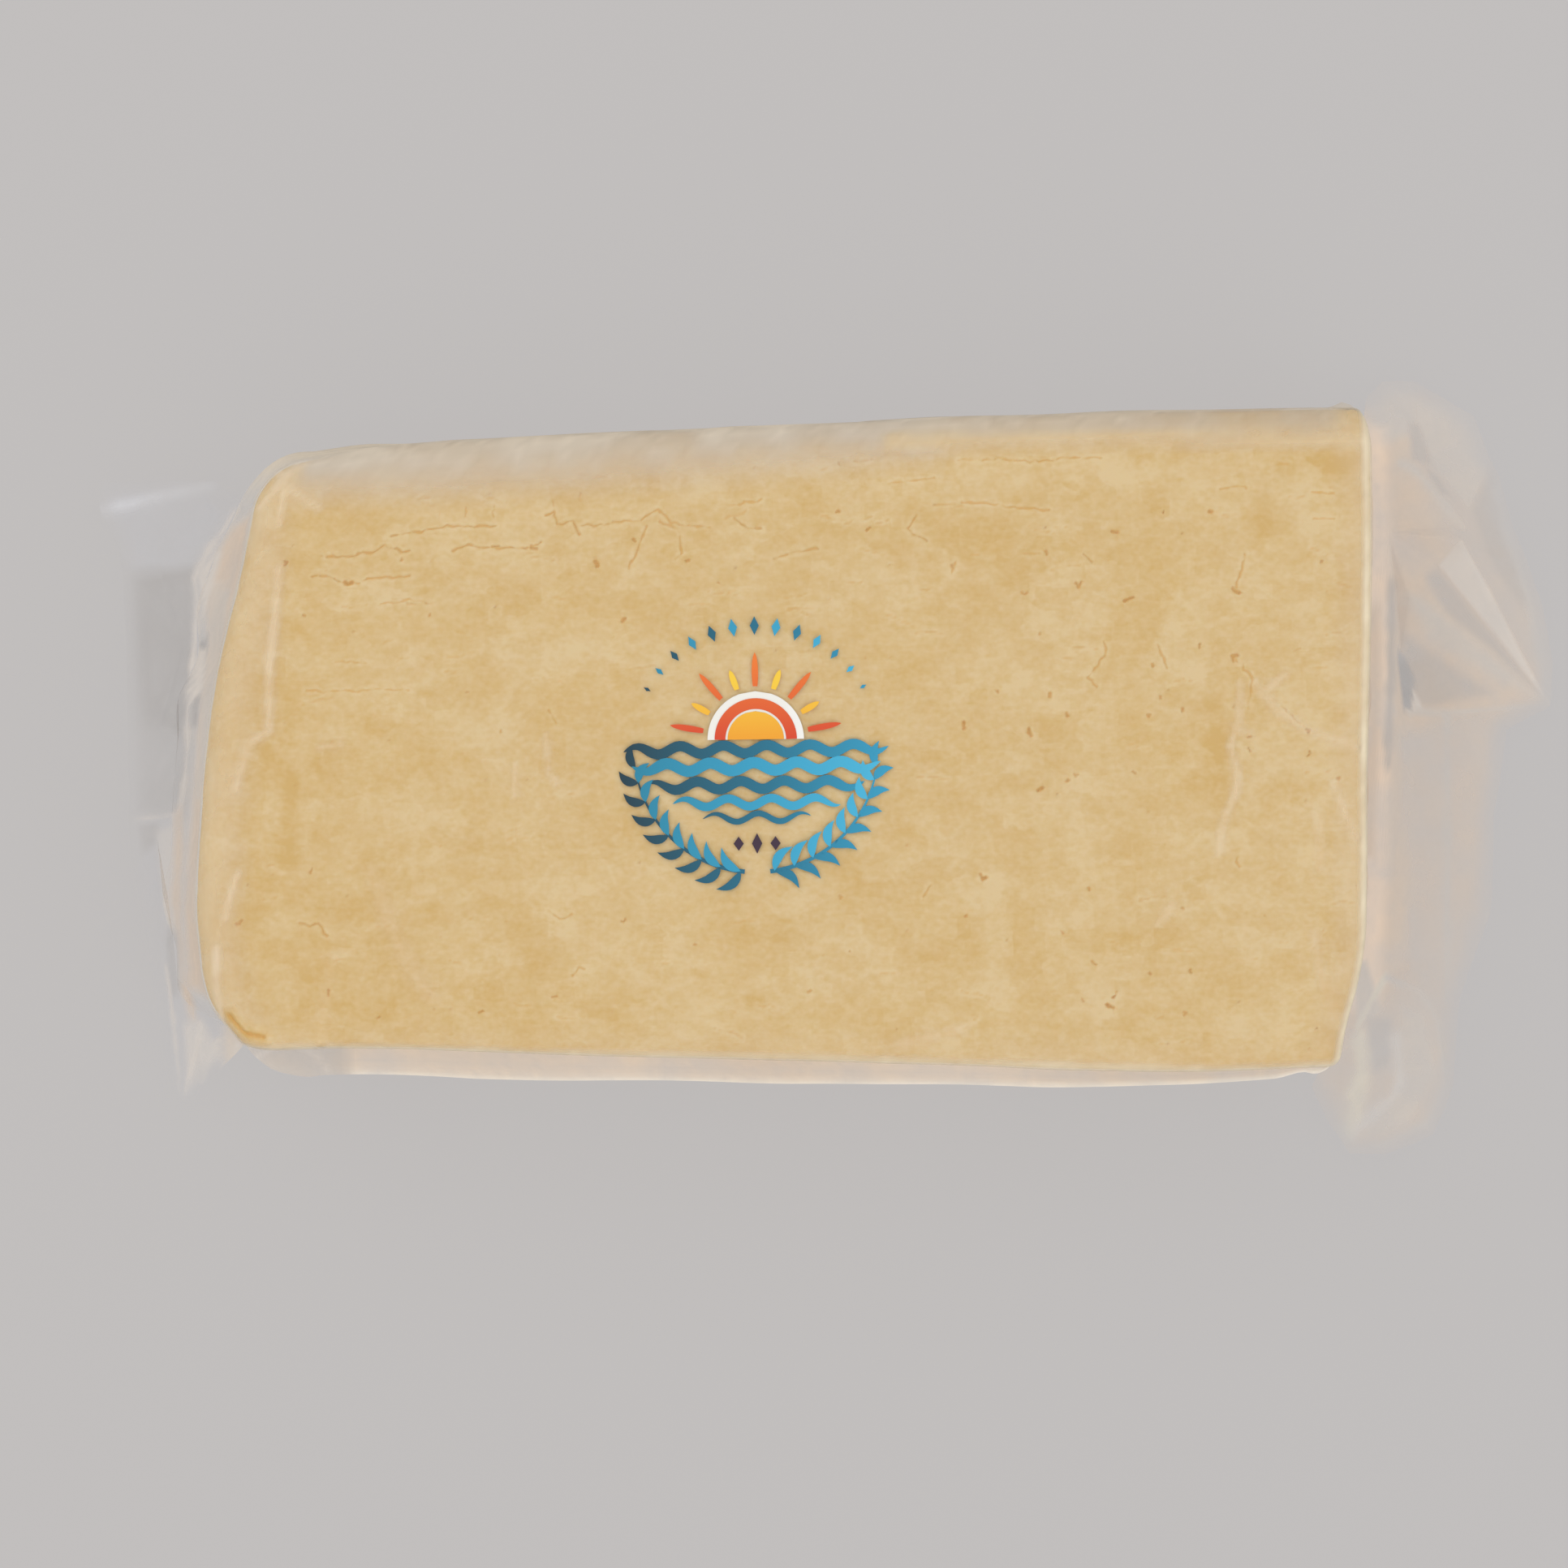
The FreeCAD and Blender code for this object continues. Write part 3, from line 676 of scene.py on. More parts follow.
# %% [markdown]
# ## Cheese finish
# Pressed halloumi is a firm white-to-butter curd with a fine wet grain. Up close it is a patchwork
# of paler lumps and yellower whey-soaked joints a few millimetres across, drawn out along the
# length. It lets a little light in, so its edges look soft. Noises of four sizes and a field of
# small blocky cells are mixed one over another to give the patches, and thin seams between larger
# cells pale them in places. Painting it by hand would look as good, but only from close by. The
# warmth and the stain stored with each point give the pits and the whey marks their colour.

# %% Material: pressed curd
# Sizes are in millimetres. Drawn out means stretched along the length of the slab.
LUMP_SIZE, CURD_SIZE, FINE_SIZE, LAYER_SIZE = 12.0, 3.6, 1.0, 1.3
CUBE_SIZE, CUBE_BEND = 4.0, 0.7
SEAM_CELL, SEAM_HALF, SEAM_PALE = 5.5, 0.12, 0.06
STAIN_SHARE = -0.14
CURD_YELLOW, CURD_PALE, PIT_AMBER = colour("#D1AC66"), colour("#DDC392"), colour("#D9A143")


def pressed_curd():
    """Fresh pressed cheese: soft, slightly wet, with curd lumps and warm pits."""
    material, output = new_material("pressed_halloumi_curd")
    tree = material.node_tree
    place = add_node(tree, "ShaderNodeTexCoord").outputs["Object"]
    drawn_out = add_node(tree, "ShaderNodeMapping", {"Vector": place, "Scale": (0.8, 1.05, 1.0)}).outputs[0]
    level = add_node(tree, "ShaderNodeMapping", {"Vector": place, "Scale": (0.14, 1.0, 1.0)}).outputs[0]
    noises = []
    for vector, size, detail, roughness in (
        (drawn_out, LUMP_SIZE, 3.0, 0.6),
        (drawn_out, CURD_SIZE, 4.0, 0.65),
        (drawn_out, FINE_SIZE, 3.0, 0.5),
        (level, LAYER_SIZE, 1.0, 0.5),
    ):
        inputs = {"Vector": vector, "Scale": 1 / (size * MM), "Detail": detail, "Roughness": roughness}
        noises.append(add_node(tree, "ShaderNodeTexNoise", inputs))
    lumps, curds, fine, layers = noises
    inputs = {0: curds.outputs["Color"], 1: (CUBE_BEND * MM, CUBE_BEND * MM, CUBE_BEND * MM), 2: drawn_out}
    bent = add_node(tree, "ShaderNodeVectorMath", inputs, operation="MULTIPLY_ADD").outputs[0]
    inputs = {"Vector": bent, "Scale": 1 / (CUBE_SIZE * MM), "Randomness": 0.8}
    cubes = add_node(tree, "ShaderNodeTexVoronoi", inputs, distance="CHEBYCHEV")
    cube_tone = add_node(tree, "ShaderNodeSeparateColor", {"Color": cubes.outputs["Color"]})
    tone = lumps.outputs["Fac"]
    for share, other in (
        (0.50, curds.outputs["Fac"]),
        (0.14, cube_tone.outputs[0]),
        (0.34, fine.outputs["Fac"]),
        (0.07, layers.outputs["Fac"]),
    ):
        inputs = {"Factor": share, "A": tone, "B": other}
        tone = add_node(tree, "ShaderNodeMix", inputs, data_type="FLOAT").outputs[0]
    # Pale seams, where curds were pressed together, show in some places only.
    inputs = {"Vector": bent, "Scale": 1 / (SEAM_CELL * MM), "Randomness": 1.0}
    seams = add_node(tree, "ShaderNodeTexVoronoi", inputs, feature="DISTANCE_TO_EDGE")
    seam_ranges = []
    for value, low, high, first, last in (
        (seams.outputs["Distance"], 0.0, SEAM_HALF, 1.0, 0.0),
        (lumps.outputs["Fac"], 0.47, 0.60, 0.0, SEAM_PALE),
    ):
        inputs = {"Value": value, "From Min": low, "From Max": high, "To Min": first, "To Max": last}
        seam_ranges.append(add_node(tree, "ShaderNodeMapRange", inputs).outputs["Result"])
    stain_of = add_node(tree, "ShaderNodeAttribute", attribute_name="stain")
    for first, second in (seam_ranges, (stain_of.outputs["Fac"], STAIN_SHARE)):
        inputs = {0: first, 1: second, 2: tone}
        tone = add_node(tree, "ShaderNodeMath", inputs, operation="MULTIPLY_ADD").outputs[0]
    ramp = add_node(tree, "ShaderNodeValToRGB", {"Fac": tone})
    for element, position, tint in zip(ramp.color_ramp.elements, (0.35, 0.64), (CURD_YELLOW, CURD_PALE)):
        element.position = position
        element.color = tint
    warmth_of = add_node(tree, "ShaderNodeAttribute", attribute_name="warmth")
    inputs = {"Factor": warmth_of.outputs["Fac"], "A": ramp.outputs[0], "B": PIT_AMBER}
    pitted = add_node(tree, "ShaderNodeMix", inputs, data_type="RGBA")
    inputs = {"Strength": 0.35, "Distance": 0.25 * MM, "Height": curds.outputs["Fac"]}
    bump = add_node(tree, "ShaderNodeBump", inputs).outputs[0]
    inputs = {"Strength": 0.12, "Distance": 0.08 * MM, "Height": fine.outputs["Fac"], "Normal": bump}
    fine_bump = add_node(tree, "ShaderNodeBump", inputs)
    inputs = {
        "Base Color": pitted.outputs[2],
        "Roughness": 0.5,
        "IOR": 1.45,
        "Subsurface Weight": 0.25,
        "Subsurface Radius": (1.0, 0.6, 0.25),
        "Subsurface Scale": 2.0 * MM,
        "Normal": fine_bump.outputs[0],
    }
    shader = add_node(tree, "ShaderNodeBsdfPrincipled", inputs)
    tree.links.new(shader.outputs[0], output.inputs[0])
    return material


cheese = finish_piece("cheese_block", cheese_bm, pressed_curd(), {"warmth": warmth, "stain": stain})
print("cheese triangles about:", sum(len(face.vertices) - 2 for face in cheese.data.polygons))

# %% [markdown]
# ## The clear film
# A vacuum pouch is a thin clear plastic tube, welded flat at both ends. On the slab it clings like
# a second skin, bridges the holes and stands up in small pleats; past the ends it lies as crumpled
# clear wings, with hard creases and flat facets. Cloth simulation would find other creases than
# these, so the folds are given one by one. Film is nearly invisible where it is flat and
# milky where it is creased, so every point carries how cloudy it is and with what tint. The same
# cloud and tint also paint light: highlights on rims and folds, shade on some facets, and warm
# light thrown from the cheese.

# %% Tints of the film, most of them painted light and shade, and marks that cloud it
CLEAR = colour("#E6E0D8")
# Milky creases, with a painted highlight along them.
MILKY_FOLD_HIGHLIGHT = colour("#E9DDD0")
# Painted warm light, thrown from the cheese onto the film near it.
WARM_BOUNCE_LIGHT = colour("#E8CDB0")
# Brighter painted warm light, on the film beside the right end of the block.
BUFF_BOUNCE_LIGHT = colour("#F8DFC6")
# Milky film over the far slope, made light enough to paint light over the slope's shade.
HAZE_AND_PAINTED_LIGHT = colour("#DFD0BA")
# Painted highlight, along the rims and some folds.
CREAM_HIGHLIGHT = colour("#F9EACB")
# Milky pleats, with a painted highlight along their ridges.
PEARL_PLEAT_HIGHLIGHT = colour("#FFF1DA")
# Painted highlight along a fold of the left end.
FROST_HIGHLIGHT = colour("#DCDCE1")
# Painted cool shade, on the left end, which is away from the light.
COOL_SHADE = colour("#C6C6CC")
# Painted shadow and shade: floor in shade seen through the film, and dark gaps beside the cheese.
SMOKE_SHADE = colour("#98918C")
# Painted shade, on facets turned from the light.
GREY_SHADE = colour("#CDBBA9")
# Lighter folds and facets: milky film, with painted light on them.
PALE_MILK_AND_LIGHT = colour("#E0D0BE")


def inside(points, outline):
    """Whether each place lies inside an outline."""
    result = np.zeros(len(points), bool)
    x, y = points[:, 0], points[:, 1]
    for (x1, y1), (x2, y2) in zip(outline, outline[1:] + outline[:1]):
        crosses = (y1 > y) != (y2 > y)
        result ^= crosses & (x < (x2 - x1) * (y - y1) / (y2 - y1 + 1e-12) + x1)
    return result


def mark_amount(places, mark):
    """How strongly a mark covers each place, 0 to 1. A mark is a patch, or a stroke if it has a width."""
    outline = np.array(mark["points"], float)
    if "width" in mark:
        wobble = mark["ragged"] * mark["width"] * smooth_noise(np.pad(places, ((0, 0), (0, 1))), 2.5, 31)
        distance = line_distance(places, outline) + wobble
        return 1 - soft_step(distance / mark["width"])
    closed = np.concatenate([outline, outline[:1]])
    distance = line_distance(places, closed)
    signed = np.where(inside(places, mark["points"]), distance, -distance)
    return soft_step(0.5 + signed / mark["soft"])


def stroke(cloud, tint, width, points, ragged=0.25):
    """A line that clouds the film by cloud, fading over width: creases, and painted highlights and shade."""
    return {"cloud": cloud, "tint": tint, "width": width, "points": points, "ragged": ragged}


def patch(cloud, tint, soft, points):
    """An area clouded by cloud all over, with an edge soft millimetres wide: milky facets, and painted light
    and shade.
    """
    return {"cloud": cloud, "tint": tint, "soft": soft, "points": points}


MOST_CLOUD = 0.95


def cloud_film(points, marks, base_cloud, base_tint=CLEAR):
    """Cloudiness and tint at each point, from a base and marks laid one over another."""
    places = points[:, :2]
    cloud = np.full(len(points), float(base_cloud))
    tint = np.tile(np.array(base_tint[:3]), (len(points), 1))
    for mark in marks:
        amount = mark_amount(places, mark)
        cover = amount[:, None]
        tint = tint * (1 - cover) + np.array(mark["tint"][:3]) * cover
        cloud = cloud * (1 - amount) + mark["cloud"] * amount
    mottle = 1 + 0.25 * smooth_noise(points, 6.0, 33) + 0.15 * smooth_noise(points, 1.8, 34)
    return np.clip(cloud * mottle, 0, MOST_CLOUD), tint


# %% Material: clear nylon and polythene pouch film
HAZE_LIFT = 1.2
# How strongly the painted sheen clouds the film at a low angle.
EDGE_POWER, EDGE_SHEEN = 3.0, 0.10
UNDER_LIMIT = -0.05


def pouch_film():
    """Clear laminated film: see-through and glossy, milky along creases, and clouded more at a low angle as a
    painted sheen.
    """
    material, output = new_material("clear_vacuum_pouch_film")
    tree = material.node_tree
    cloud = add_node(tree, "ShaderNodeAttribute", attribute_name="cloud")
    tint = add_node(tree, "ShaderNodeAttribute", attribute_name="tint")
    # At a low angle the film is clouded more with its tint: a painted sheen in place of its glancing
    # reflection.
    edge = add_node(tree, "ShaderNodeLayerWeight", {"Blend": 0.35})
    edge_sheen = add_node(tree, "ShaderNodeMath", {0: edge.outputs["Facing"], 1: EDGE_POWER}, operation="POWER")
    edge_sheen = add_node(tree, "ShaderNodeMath", {0: edge_sheen.outputs[0], 1: EDGE_SHEEN}, operation="MULTIPLY")
    inputs = {0: cloud.outputs["Fac"], 1: edge_sheen.outputs[0]}
    cover = add_node(tree, "ShaderNodeMath", inputs, operation="ADD", use_clamp=True)
    # Haze passes light on in every direction, so a steep sheet isn't darker than a flat one: where
    # the film faces up or sideways, the direction that catches the light is bent upwards.
    lean = add_node(tree, "ShaderNodeNewGeometry").outputs["Normal"]
    upward = add_node(tree, "ShaderNodeSeparateXYZ", {"Vector": lean})
    inputs = {0: upward.outputs["Z"], 1: UNDER_LIMIT}
    not_under = add_node(tree, "ShaderNodeMath", inputs, operation="GREATER_THAN")
    lift = add_node(tree, "ShaderNodeMath", {0: not_under.outputs[0], 1: HAZE_LIFT}, operation="MULTIPLY")
    lift_vector = add_node(tree, "ShaderNodeCombineXYZ", {"Z": lift.outputs[0]})
    bent = add_node(tree, "ShaderNodeVectorMath", {0: lean, 1: lift_vector.outputs[0]}, operation="ADD")
    bent = add_node(tree, "ShaderNodeVectorMath", {0: bent.outputs[0]}, operation="NORMALIZE")
    inputs = {"Base Color": tint.outputs["Color"], "Roughness": 0.4, "IOR": 1.5, "Normal": bent.outputs[0]}
    shader = add_node(tree, "ShaderNodeBsdfPrincipled", inputs)
    clear = add_node(tree, "ShaderNodeBsdfTransparent", {"Color": (1.0, 1.0, 1.0, 1.0)})
    inputs = {0: cover.outputs[0], 1: clear.outputs[0], 2: shader.outputs[0]}
    mixed = add_node(tree, "ShaderNodeMixShader", inputs)
    tree.links.new(mixed.outputs[0], output.inputs[0])
    return material


film = pouch_film()


# The marks below the rim take over from the top's marks over this height.
LOW_START, LOW_BLEND = 4.0, 5.0


def finish_film(name, bm, marks, base_cloud, base_tint=CLEAR, fade=1.0, low_marks=()):
    """A finished film piece, clouded by its marks, by others below the rim, and fading by fade."""
    points = np.array([vertex.co[:] for vertex in bm.verts])
    cloud, tint = cloud_film(points, marks, base_cloud, base_tint)
    if low_marks:
        low_cloud, low_tint = cloud_film(points, low_marks, base_cloud, base_tint)
        share = soft_step((THICKNESS - LOW_START - points[:, 2]) / LOW_BLEND)
        cloud = cloud * (1 - share) + low_cloud * share
        tint = tint * (1 - share)[:, None] + low_tint * share[:, None]
    cloud = cloud * fade
    piece = finish_piece(name, bm, film, {"cloud": cloud})
    layer = piece.data.attributes.new("tint", "FLOAT_COLOR", "POINT")
    layer.data.foreach_set("color", np.column_stack([tint, np.ones(len(tint))]).ravel())
    return piece


# %% Pleats of the film on the top face, listed one by one
# Each pleat is its height, half width and cloudiness, and the line that it stands along.
PLEATS = [
    (0.5, 1.5, 0.34, [(-93, 34.5), (-93.9, 25.5), (-95.1, 16.6), (-95.2, 4.4), (-99, 2.5), (-101.5, -5.9)]),
    (0.5, 1.2, 0.36, [(-101.4, -21.8), (-103.4, -27.3), (-103.9, -30.1)]),
    (0.4, 1.4, 0.46, [(-105.7, -35.7), (-105.9, -44.4), (-104.9, -50.1), (-101.4, -54)]),
    (0.3, 2.6, 0.17, [(-76.4, -22.2), (-75.4, -26.2), (-73.6, -31.7), (-70.4, -38.7), (-66.2, -45)]),
    (0.6, 1.2, 0.45, [(-96.9, 45.8), (-92.8, 50.3), (-88.7, 54.5)]),
    (0.6, 1.1, 0.45, [(-92.9, 42.5), (-91.8, 49.5), (-93.5, 52.8)]),
    (0.4, 1, 0.36, [(-91.8, 49.5), (-85.4, 45.4)]),
    (0.5, 1.2, 0.30, [
        (84.1, 11.2), (83.9, 4.3), (82, -0.8), (83.5, -5.8), (83, -9.2), (80.3, -15.6), (79.8, -20.6),
    ]),
    (0.2, 1.7, 0.18, [(97.8, -12.9), (98.8, -17.8), (98.1, -23.4)]),
    (0.5, 1.2, 0.32, [(101.3, -7.9), (103.3, -14), (105.2, -17.9)]),
    (0.4, 1.3, 0.26, [(86.7, 11.1), (90.5, 6.1), (96.5, 1.9), (105.4, -1.1)]),
    (0.3, 1, 0.24, [(-44.2, 3.1), (-43.9, -3.6), (-42.4, -6)]),
    (0.3, 0.9, 0.22, [(-50.1, -2), (-50.2, -8.5)]),
    (0.2, 1.8, 0.20, [(20.1, -55), (32, -52.3)]),
    (0.2, 1.7, 0.20, [(97.3, -35.5), (98.1, -41.5), (100.1, -49)]),
    (0.2, 1.9, 0.13, [(-86.7, -53), (-85.5, -44.3), (-84.2, -37.6)]),
    (0.3, 1.4, 0.20, [(68.1, -33.6), (71.1, -29.9)]),
    (0.3, 1, 0.24, [(86, 1.5), (82.5, 3)]),
    (0.3, 1.1, 0.24, [(88, 9), (92.5, 12.5)]),
    (0.3, 1.1, 0.20, [(-86, 1.2), (-82, 1.8)]),
]

# %% Marks of the top sheet: the far band, hazy and lightened with painted light, painted highlights on the rims, and the pleats
FAR_BAND_HAZE_AND_LIGHT = [
    # Milky film over the slumped far edge, clouded light enough to paint light over the slope's shade.
    patch(0.82, HAZE_AND_PAINTED_LIGHT, 15, [(-110, 49.6), (-60, 51), (-20, 52.8), (28, 56.6), (28, 76), (-110, 76)]),
    patch(0.70, HAZE_AND_PAINTED_LIGHT, 6.5, [(24, 55.8), (84, 57.6), (84, 72), (24, 72)]),
    patch(0.54, HAZE_AND_PAINTED_LIGHT, 9, [(76, 57), (118, 57), (118, 72), (76, 72)]),
]
LEFT_RIM = [(-95.2, 52), (-98.6, 35), (-103, 15.6), (-106.2, -10), (-107.2, -33), (-105, -46), (-99.6, -54)]
RIGHT_RIM = [
    (108, 61), (107.8, 32), (107.4, 15), (106.7, -5.6), (106.6, -26), (106.2, -38), (104.8, -45.4),
    (102.9, -52), (101.2, -59.6),
]
NEAR_RIM = [
    (-100.4, -54), (-86, -54), (-42, -55.9), (-1, -57.1), (40, -58.9), (78.9, -60.5), (101.2, -59.9),
]
TOP_MARKS = FAR_BAND_HAZE_AND_LIGHT + [
    # Painted highlights along the left, right and near rims, and a painted highlight line along the far edge.
    stroke(0.30, CREAM_HIGHLIGHT, 9, LEFT_RIM, 0.1),
    stroke(0.26, CREAM_HIGHLIGHT, 8, RIGHT_RIM, 0.1),
    stroke(0.16, CREAM_HIGHLIGHT, 6, NEAR_RIM),
    stroke(0.36, CREAM_HIGHLIGHT, 2.2, [(20, 56.8), (60, 56.8), (90, 55.8), (107, 55.2)], 0.1),
    stroke(0.80, CREAM_HIGHLIGHT, 1.5, RIGHT_RIM, 0.06),
    stroke(0.52, CREAM_HIGHLIGHT, 1.5, NEAR_RIM, 0.10),
    patch(0.04, CREAM_HIGHLIGHT, 1.6, [
        (-105, -46.8), (-102.6, -47), (-99.8, -50), (-96, -50.8), (-96.2, -53.4), (-100.8, -53.2),
        (-104.6, -50.6),
    ]),
]
# Pleats: milky ridges, with a painted highlight along each.
TOP_MARKS += [stroke(0.95 * cloud, PEARL_PLEAT_HIGHLIGHT, 1.05 * width, line, 0.15) for _, width, cloud, line in PLEATS]


# %% The weld line, where the film stands off the ends as a tent
# Each tent reaches this far out. It grows from one place along the block over a width, and it is
# drawn in again at some of the corners: by a share, from a place on, over a width.
CLING = 0.35
LEFT_TENT, LEFT_START, LEFT_WIDTH = 8.0, 88.0, 12.0
RIGHT_TENT, RIGHT_START, RIGHT_WIDTH = 3.0, 97.0, 6.0
FAR_TENT, FAR_START, FAR_WIDTH = 1.4, 40.0, 10.0
NEAR_LEFT_DRAW, FAR_LEFT_DRAW = (0.8, 42.0, 9.0), (0.45, 36.0, 14.0)
FAR_RIGHT_DRAW, FAR_LEFT_GROWTH = (0.9, 54.0, 4.0), (0.8, 66.0, 18.0)
FLUTTER = 0.22
WELD_WAVE = 0.6


def past(value, start, width):
    """0 where a value is below start, 1 where it is width or more above it, and smooth between."""
    return soft_step((value - start) / width)


def weld_ring():
    """The line round the block where the two sheets meet, standing off the ends as a tent."""
    rim = skin[TOP][ring]
    x, y, _ = rim.T
    away = outward[TOP][ring] * (1, 1, 0)
    away = away / np.linalg.norm(away, axis=1, keepdims=True)
    left = past(-x, LEFT_START, LEFT_WIDTH)
    left *= 1 - NEAR_LEFT_DRAW[0] * past(-y, *NEAR_LEFT_DRAW[1:])
    left *= 1 - FAR_LEFT_DRAW[0] * past(y, *FAR_LEFT_DRAW[1:])
    right = past(x, RIGHT_START, RIGHT_WIDTH)
    right *= 1 - FAR_RIGHT_DRAW[0] * past(y, *FAR_RIGHT_DRAW[1:]) * past(-x, -107.0, 3.0)
    flutter = 1 + FLUTTER * smooth_noise(rim * (1, 1, 0), 9.0, 41)
    far = past(y, FAR_START, FAR_WIDTH) * (1 - left) * (1 - right)
    far *= 1 + FAR_LEFT_GROWTH[0] * past(-x, *FAR_LEFT_GROWTH[1:])
    tent = CLING + (LEFT_TENT * left + RIGHT_TENT * right + FAR_TENT * far) * flutter
    points = rim + away * tent[:, None]
    points[:, 2] = WELD_HEIGHT + WELD_WAVE * smooth_noise(rim * (1, 1, 0), 14.0, 42) * (left + right)
    return points, away, left + right


weld, weld_away, slack = weld_ring()
print("weld ring from", weld.min(axis=0).round(1), "to", weld.max(axis=0).round(1))

# %% Keep the film out of the cheese
# Both measures are in millimetres: a point nearer than the first is moved out to the second.
LEAST_GAP = 0.15
PUSHED_GAP = 0.5
cheese_places = [tuple(vertex.co / MM) for vertex in cheese.data.vertices]
cheese_faces = [tuple(face.vertices) for face in cheese.data.polygons]
cheese_tree = bvhtree.BVHTree.FromPolygons(cheese_places, cheese_faces)


def keep_off(bm):
    """Pushes any point of the film that is in the cheese, or nearly, out to just above it."""
    moved = 0
    for vertex in bm.verts:
        place, normal, _, _ = cheese_tree.find_nearest(vertex.co)
        if (vertex.co - place).dot(normal) < LEAST_GAP:
            vertex.co = place + normal * PUSHED_GAP
            moved += 1
    print("film points pushed out of the cheese:", moved)


# %% A sheet of film over one half of the block
# The wall of the sheet is drawn in between the rim and the weld, as slack film is under vacuum.
SKIRT_ROWS = 12
DRAWN_IN = 1.0
CRUMPLE = 0.35
PLEAT_STEP, PLEAT_REACH = 0.8, 2.2
PLEAT_RISE, PLEAT_SPREAD = 0.7, 0.9
PLEAT_DEPTH = 4.0
END_START, END_WIDTH = 84.0, 10.0


def raise_pleats(bm, pleats):
    """Cuts the sheet finer along its pleats and lifts it there."""
    lines = [on_top((0, 0, line))[2] for *_, line in pleats]
    spots = np.concatenate([along_lines(line, PLEAT_STEP) for line in lines])
    cut_finer(bm, [(spots, PLEAT_REACH)])
    places, _ = mesh_arrays(bm)
    for (height, width, _, _), line in zip(pleats, lines):
        distance = line_distance(places[:, :2], line[:, :2])
        lift = PLEAT_RISE * height * np.exp(-((distance / (PLEAT_SPREAD * width)) ** 2))
        places[:, 2] += lift * (places[:, 2] > THICKNESS - PLEAT_DEPTH)
    for vertex, place in zip(bm.verts, places):
        vertex.co = place


def wrap_sheet(
    name, sheet_slice, sheet_quads, marks, base_cloud, pleats=(), low_marks=(), foot_cloud=1.0, end_share=1.0
):
    """One sheet of the film: it lies on the skin, then runs over the rim to the weld."""
    sheet = skin[sheet_slice] + outward[sheet_slice] * CLING
    rim = sheet[ring]
    rows = rows_between(rim, weld, SKIRT_ROWS).reshape(SKIRT_ROWS, len(ring), 3)
    steps = np.linspace(0, 1, SKIRT_ROWS + 2)[1:-1]
    for row, step in zip(rows, steps):
        crumple = smooth_noise(row * (1, 1, 0.25), 7.0, 43) * math.sin(math.pi * step)
        row += weld_away * (slack * (crumple * CRUMPLE - DRAWN_IN * math.sin(math.pi * step)))[:, None]
    points = np.concatenate([sheet, rows.reshape(-1, 3), weld])
    numbers = len(sheet) + np.arange((SKIRT_ROWS + 1) * len(ring)).reshape(SKIRT_ROWS + 1, len(ring))
    skirt = ring_faces([ring, *numbers])
    bm = bmesh.new()
    add_faces(bm, points, np.concatenate([sheet_quads, skirt]))
    if pleats:
        raise_pleats(bm, pleats)
    keep_off(bm)
    places = np.array([vertex.co[:] for vertex in bm.verts])
    fade = foot_cloud + (1 - foot_cloud) * soft_step(places[:, 2] / WELD_HEIGHT)
    fade *= 1 - (1 - end_share) * past(np.abs(places[:, 0]), END_START, END_WIDTH)
    return finish_film(name, bm, marks, base_cloud, fade=fade, low_marks=low_marks)


# %% [markdown]
# ## The slack ends
# Past the slab the two sheets are pulled flat and welded, and handling has creased them into flat
# facets. A fold net copies that: a few chosen points with heights, joined by the creases and filled
# with triangles, then cut finer so that the creases soften a little and small crumples fit in.

# %% A fold net from an outline and its creases
NET_SIDE = 1.3
MOST_ROUNDS = 5


def sides_of(triangles):
    """Both point numbers of each triangle's three sides, the lower number first."""
    return np.sort(np.concatenate([triangles[:, pair] for pair in ([0, 1], [1, 2], [2, 0])]), axis=1)


def quarter(points, triangles):
    """Each triangle as four, through the middles of its sides."""
    sides = sides_of(triangles)
    unique, number = np.unique(sides, axis=0, return_inverse=True)
    middles = points[unique].mean(axis=1)
    number = number.ravel() + len(points)
    count = len(triangles)
    ab, bc, ca = number[:count], number[count:2 * count], number[2 * count:]
    a, b, c = triangles.T
    parts = [np.stack(part, axis=1) for part in ((a, ab, ca), (ab, b, bc), (ca, bc, c), (ab, bc, ca))]
    return np.concatenate([points, middles]), np.concatenate(parts)


def fold_net(outline, creases):
    """Points and fine triangles of film with straight creases, from points of x, y and height."""
    nodes = []
    places = {}

    def node_number(point):
        key = (round(point[0], 1), round(point[1], 1))
        if key not in places:
            places[key] = len(nodes)
            nodes.append(tuple(point))
        return places[key]

    border = [node_number(point) for point in outline]
    edges = list(zip(border, border[1:] + border[:1]))
    for crease in creases:
        line = [node_number(point) for point in crease]
        edges += list(zip(line[:-1], line[1:]))
    nodes = np.array(nodes, float)
    flat, _, triangles, sources, *_ = delaunay_2d_cdt([tuple(node[:2]) for node in nodes], edges, [], 1, 1e-4)
    points = []
    for place, source in zip(flat, sources):
        if source:
            points.append(nodes[source[0]])
            continue
        weight = 1 / (np.linalg.norm(nodes[:, :2] - np.array(place), axis=1) + 0.01) ** 3
        points.append((place[0], place[1], (nodes[:, 2] * weight).sum() / weight.sum()))
    points, triangles = np.array(points), np.array(triangles)
    for _ in range(MOST_ROUNDS):
        sides = np.linalg.norm(points[triangles] - points[np.roll(triangles, 1, axis=1)], axis=2)
        if np.median(sides) < NET_SIDE:
            break
        points, triangles = quarter(points, triangles)
    return points, triangles


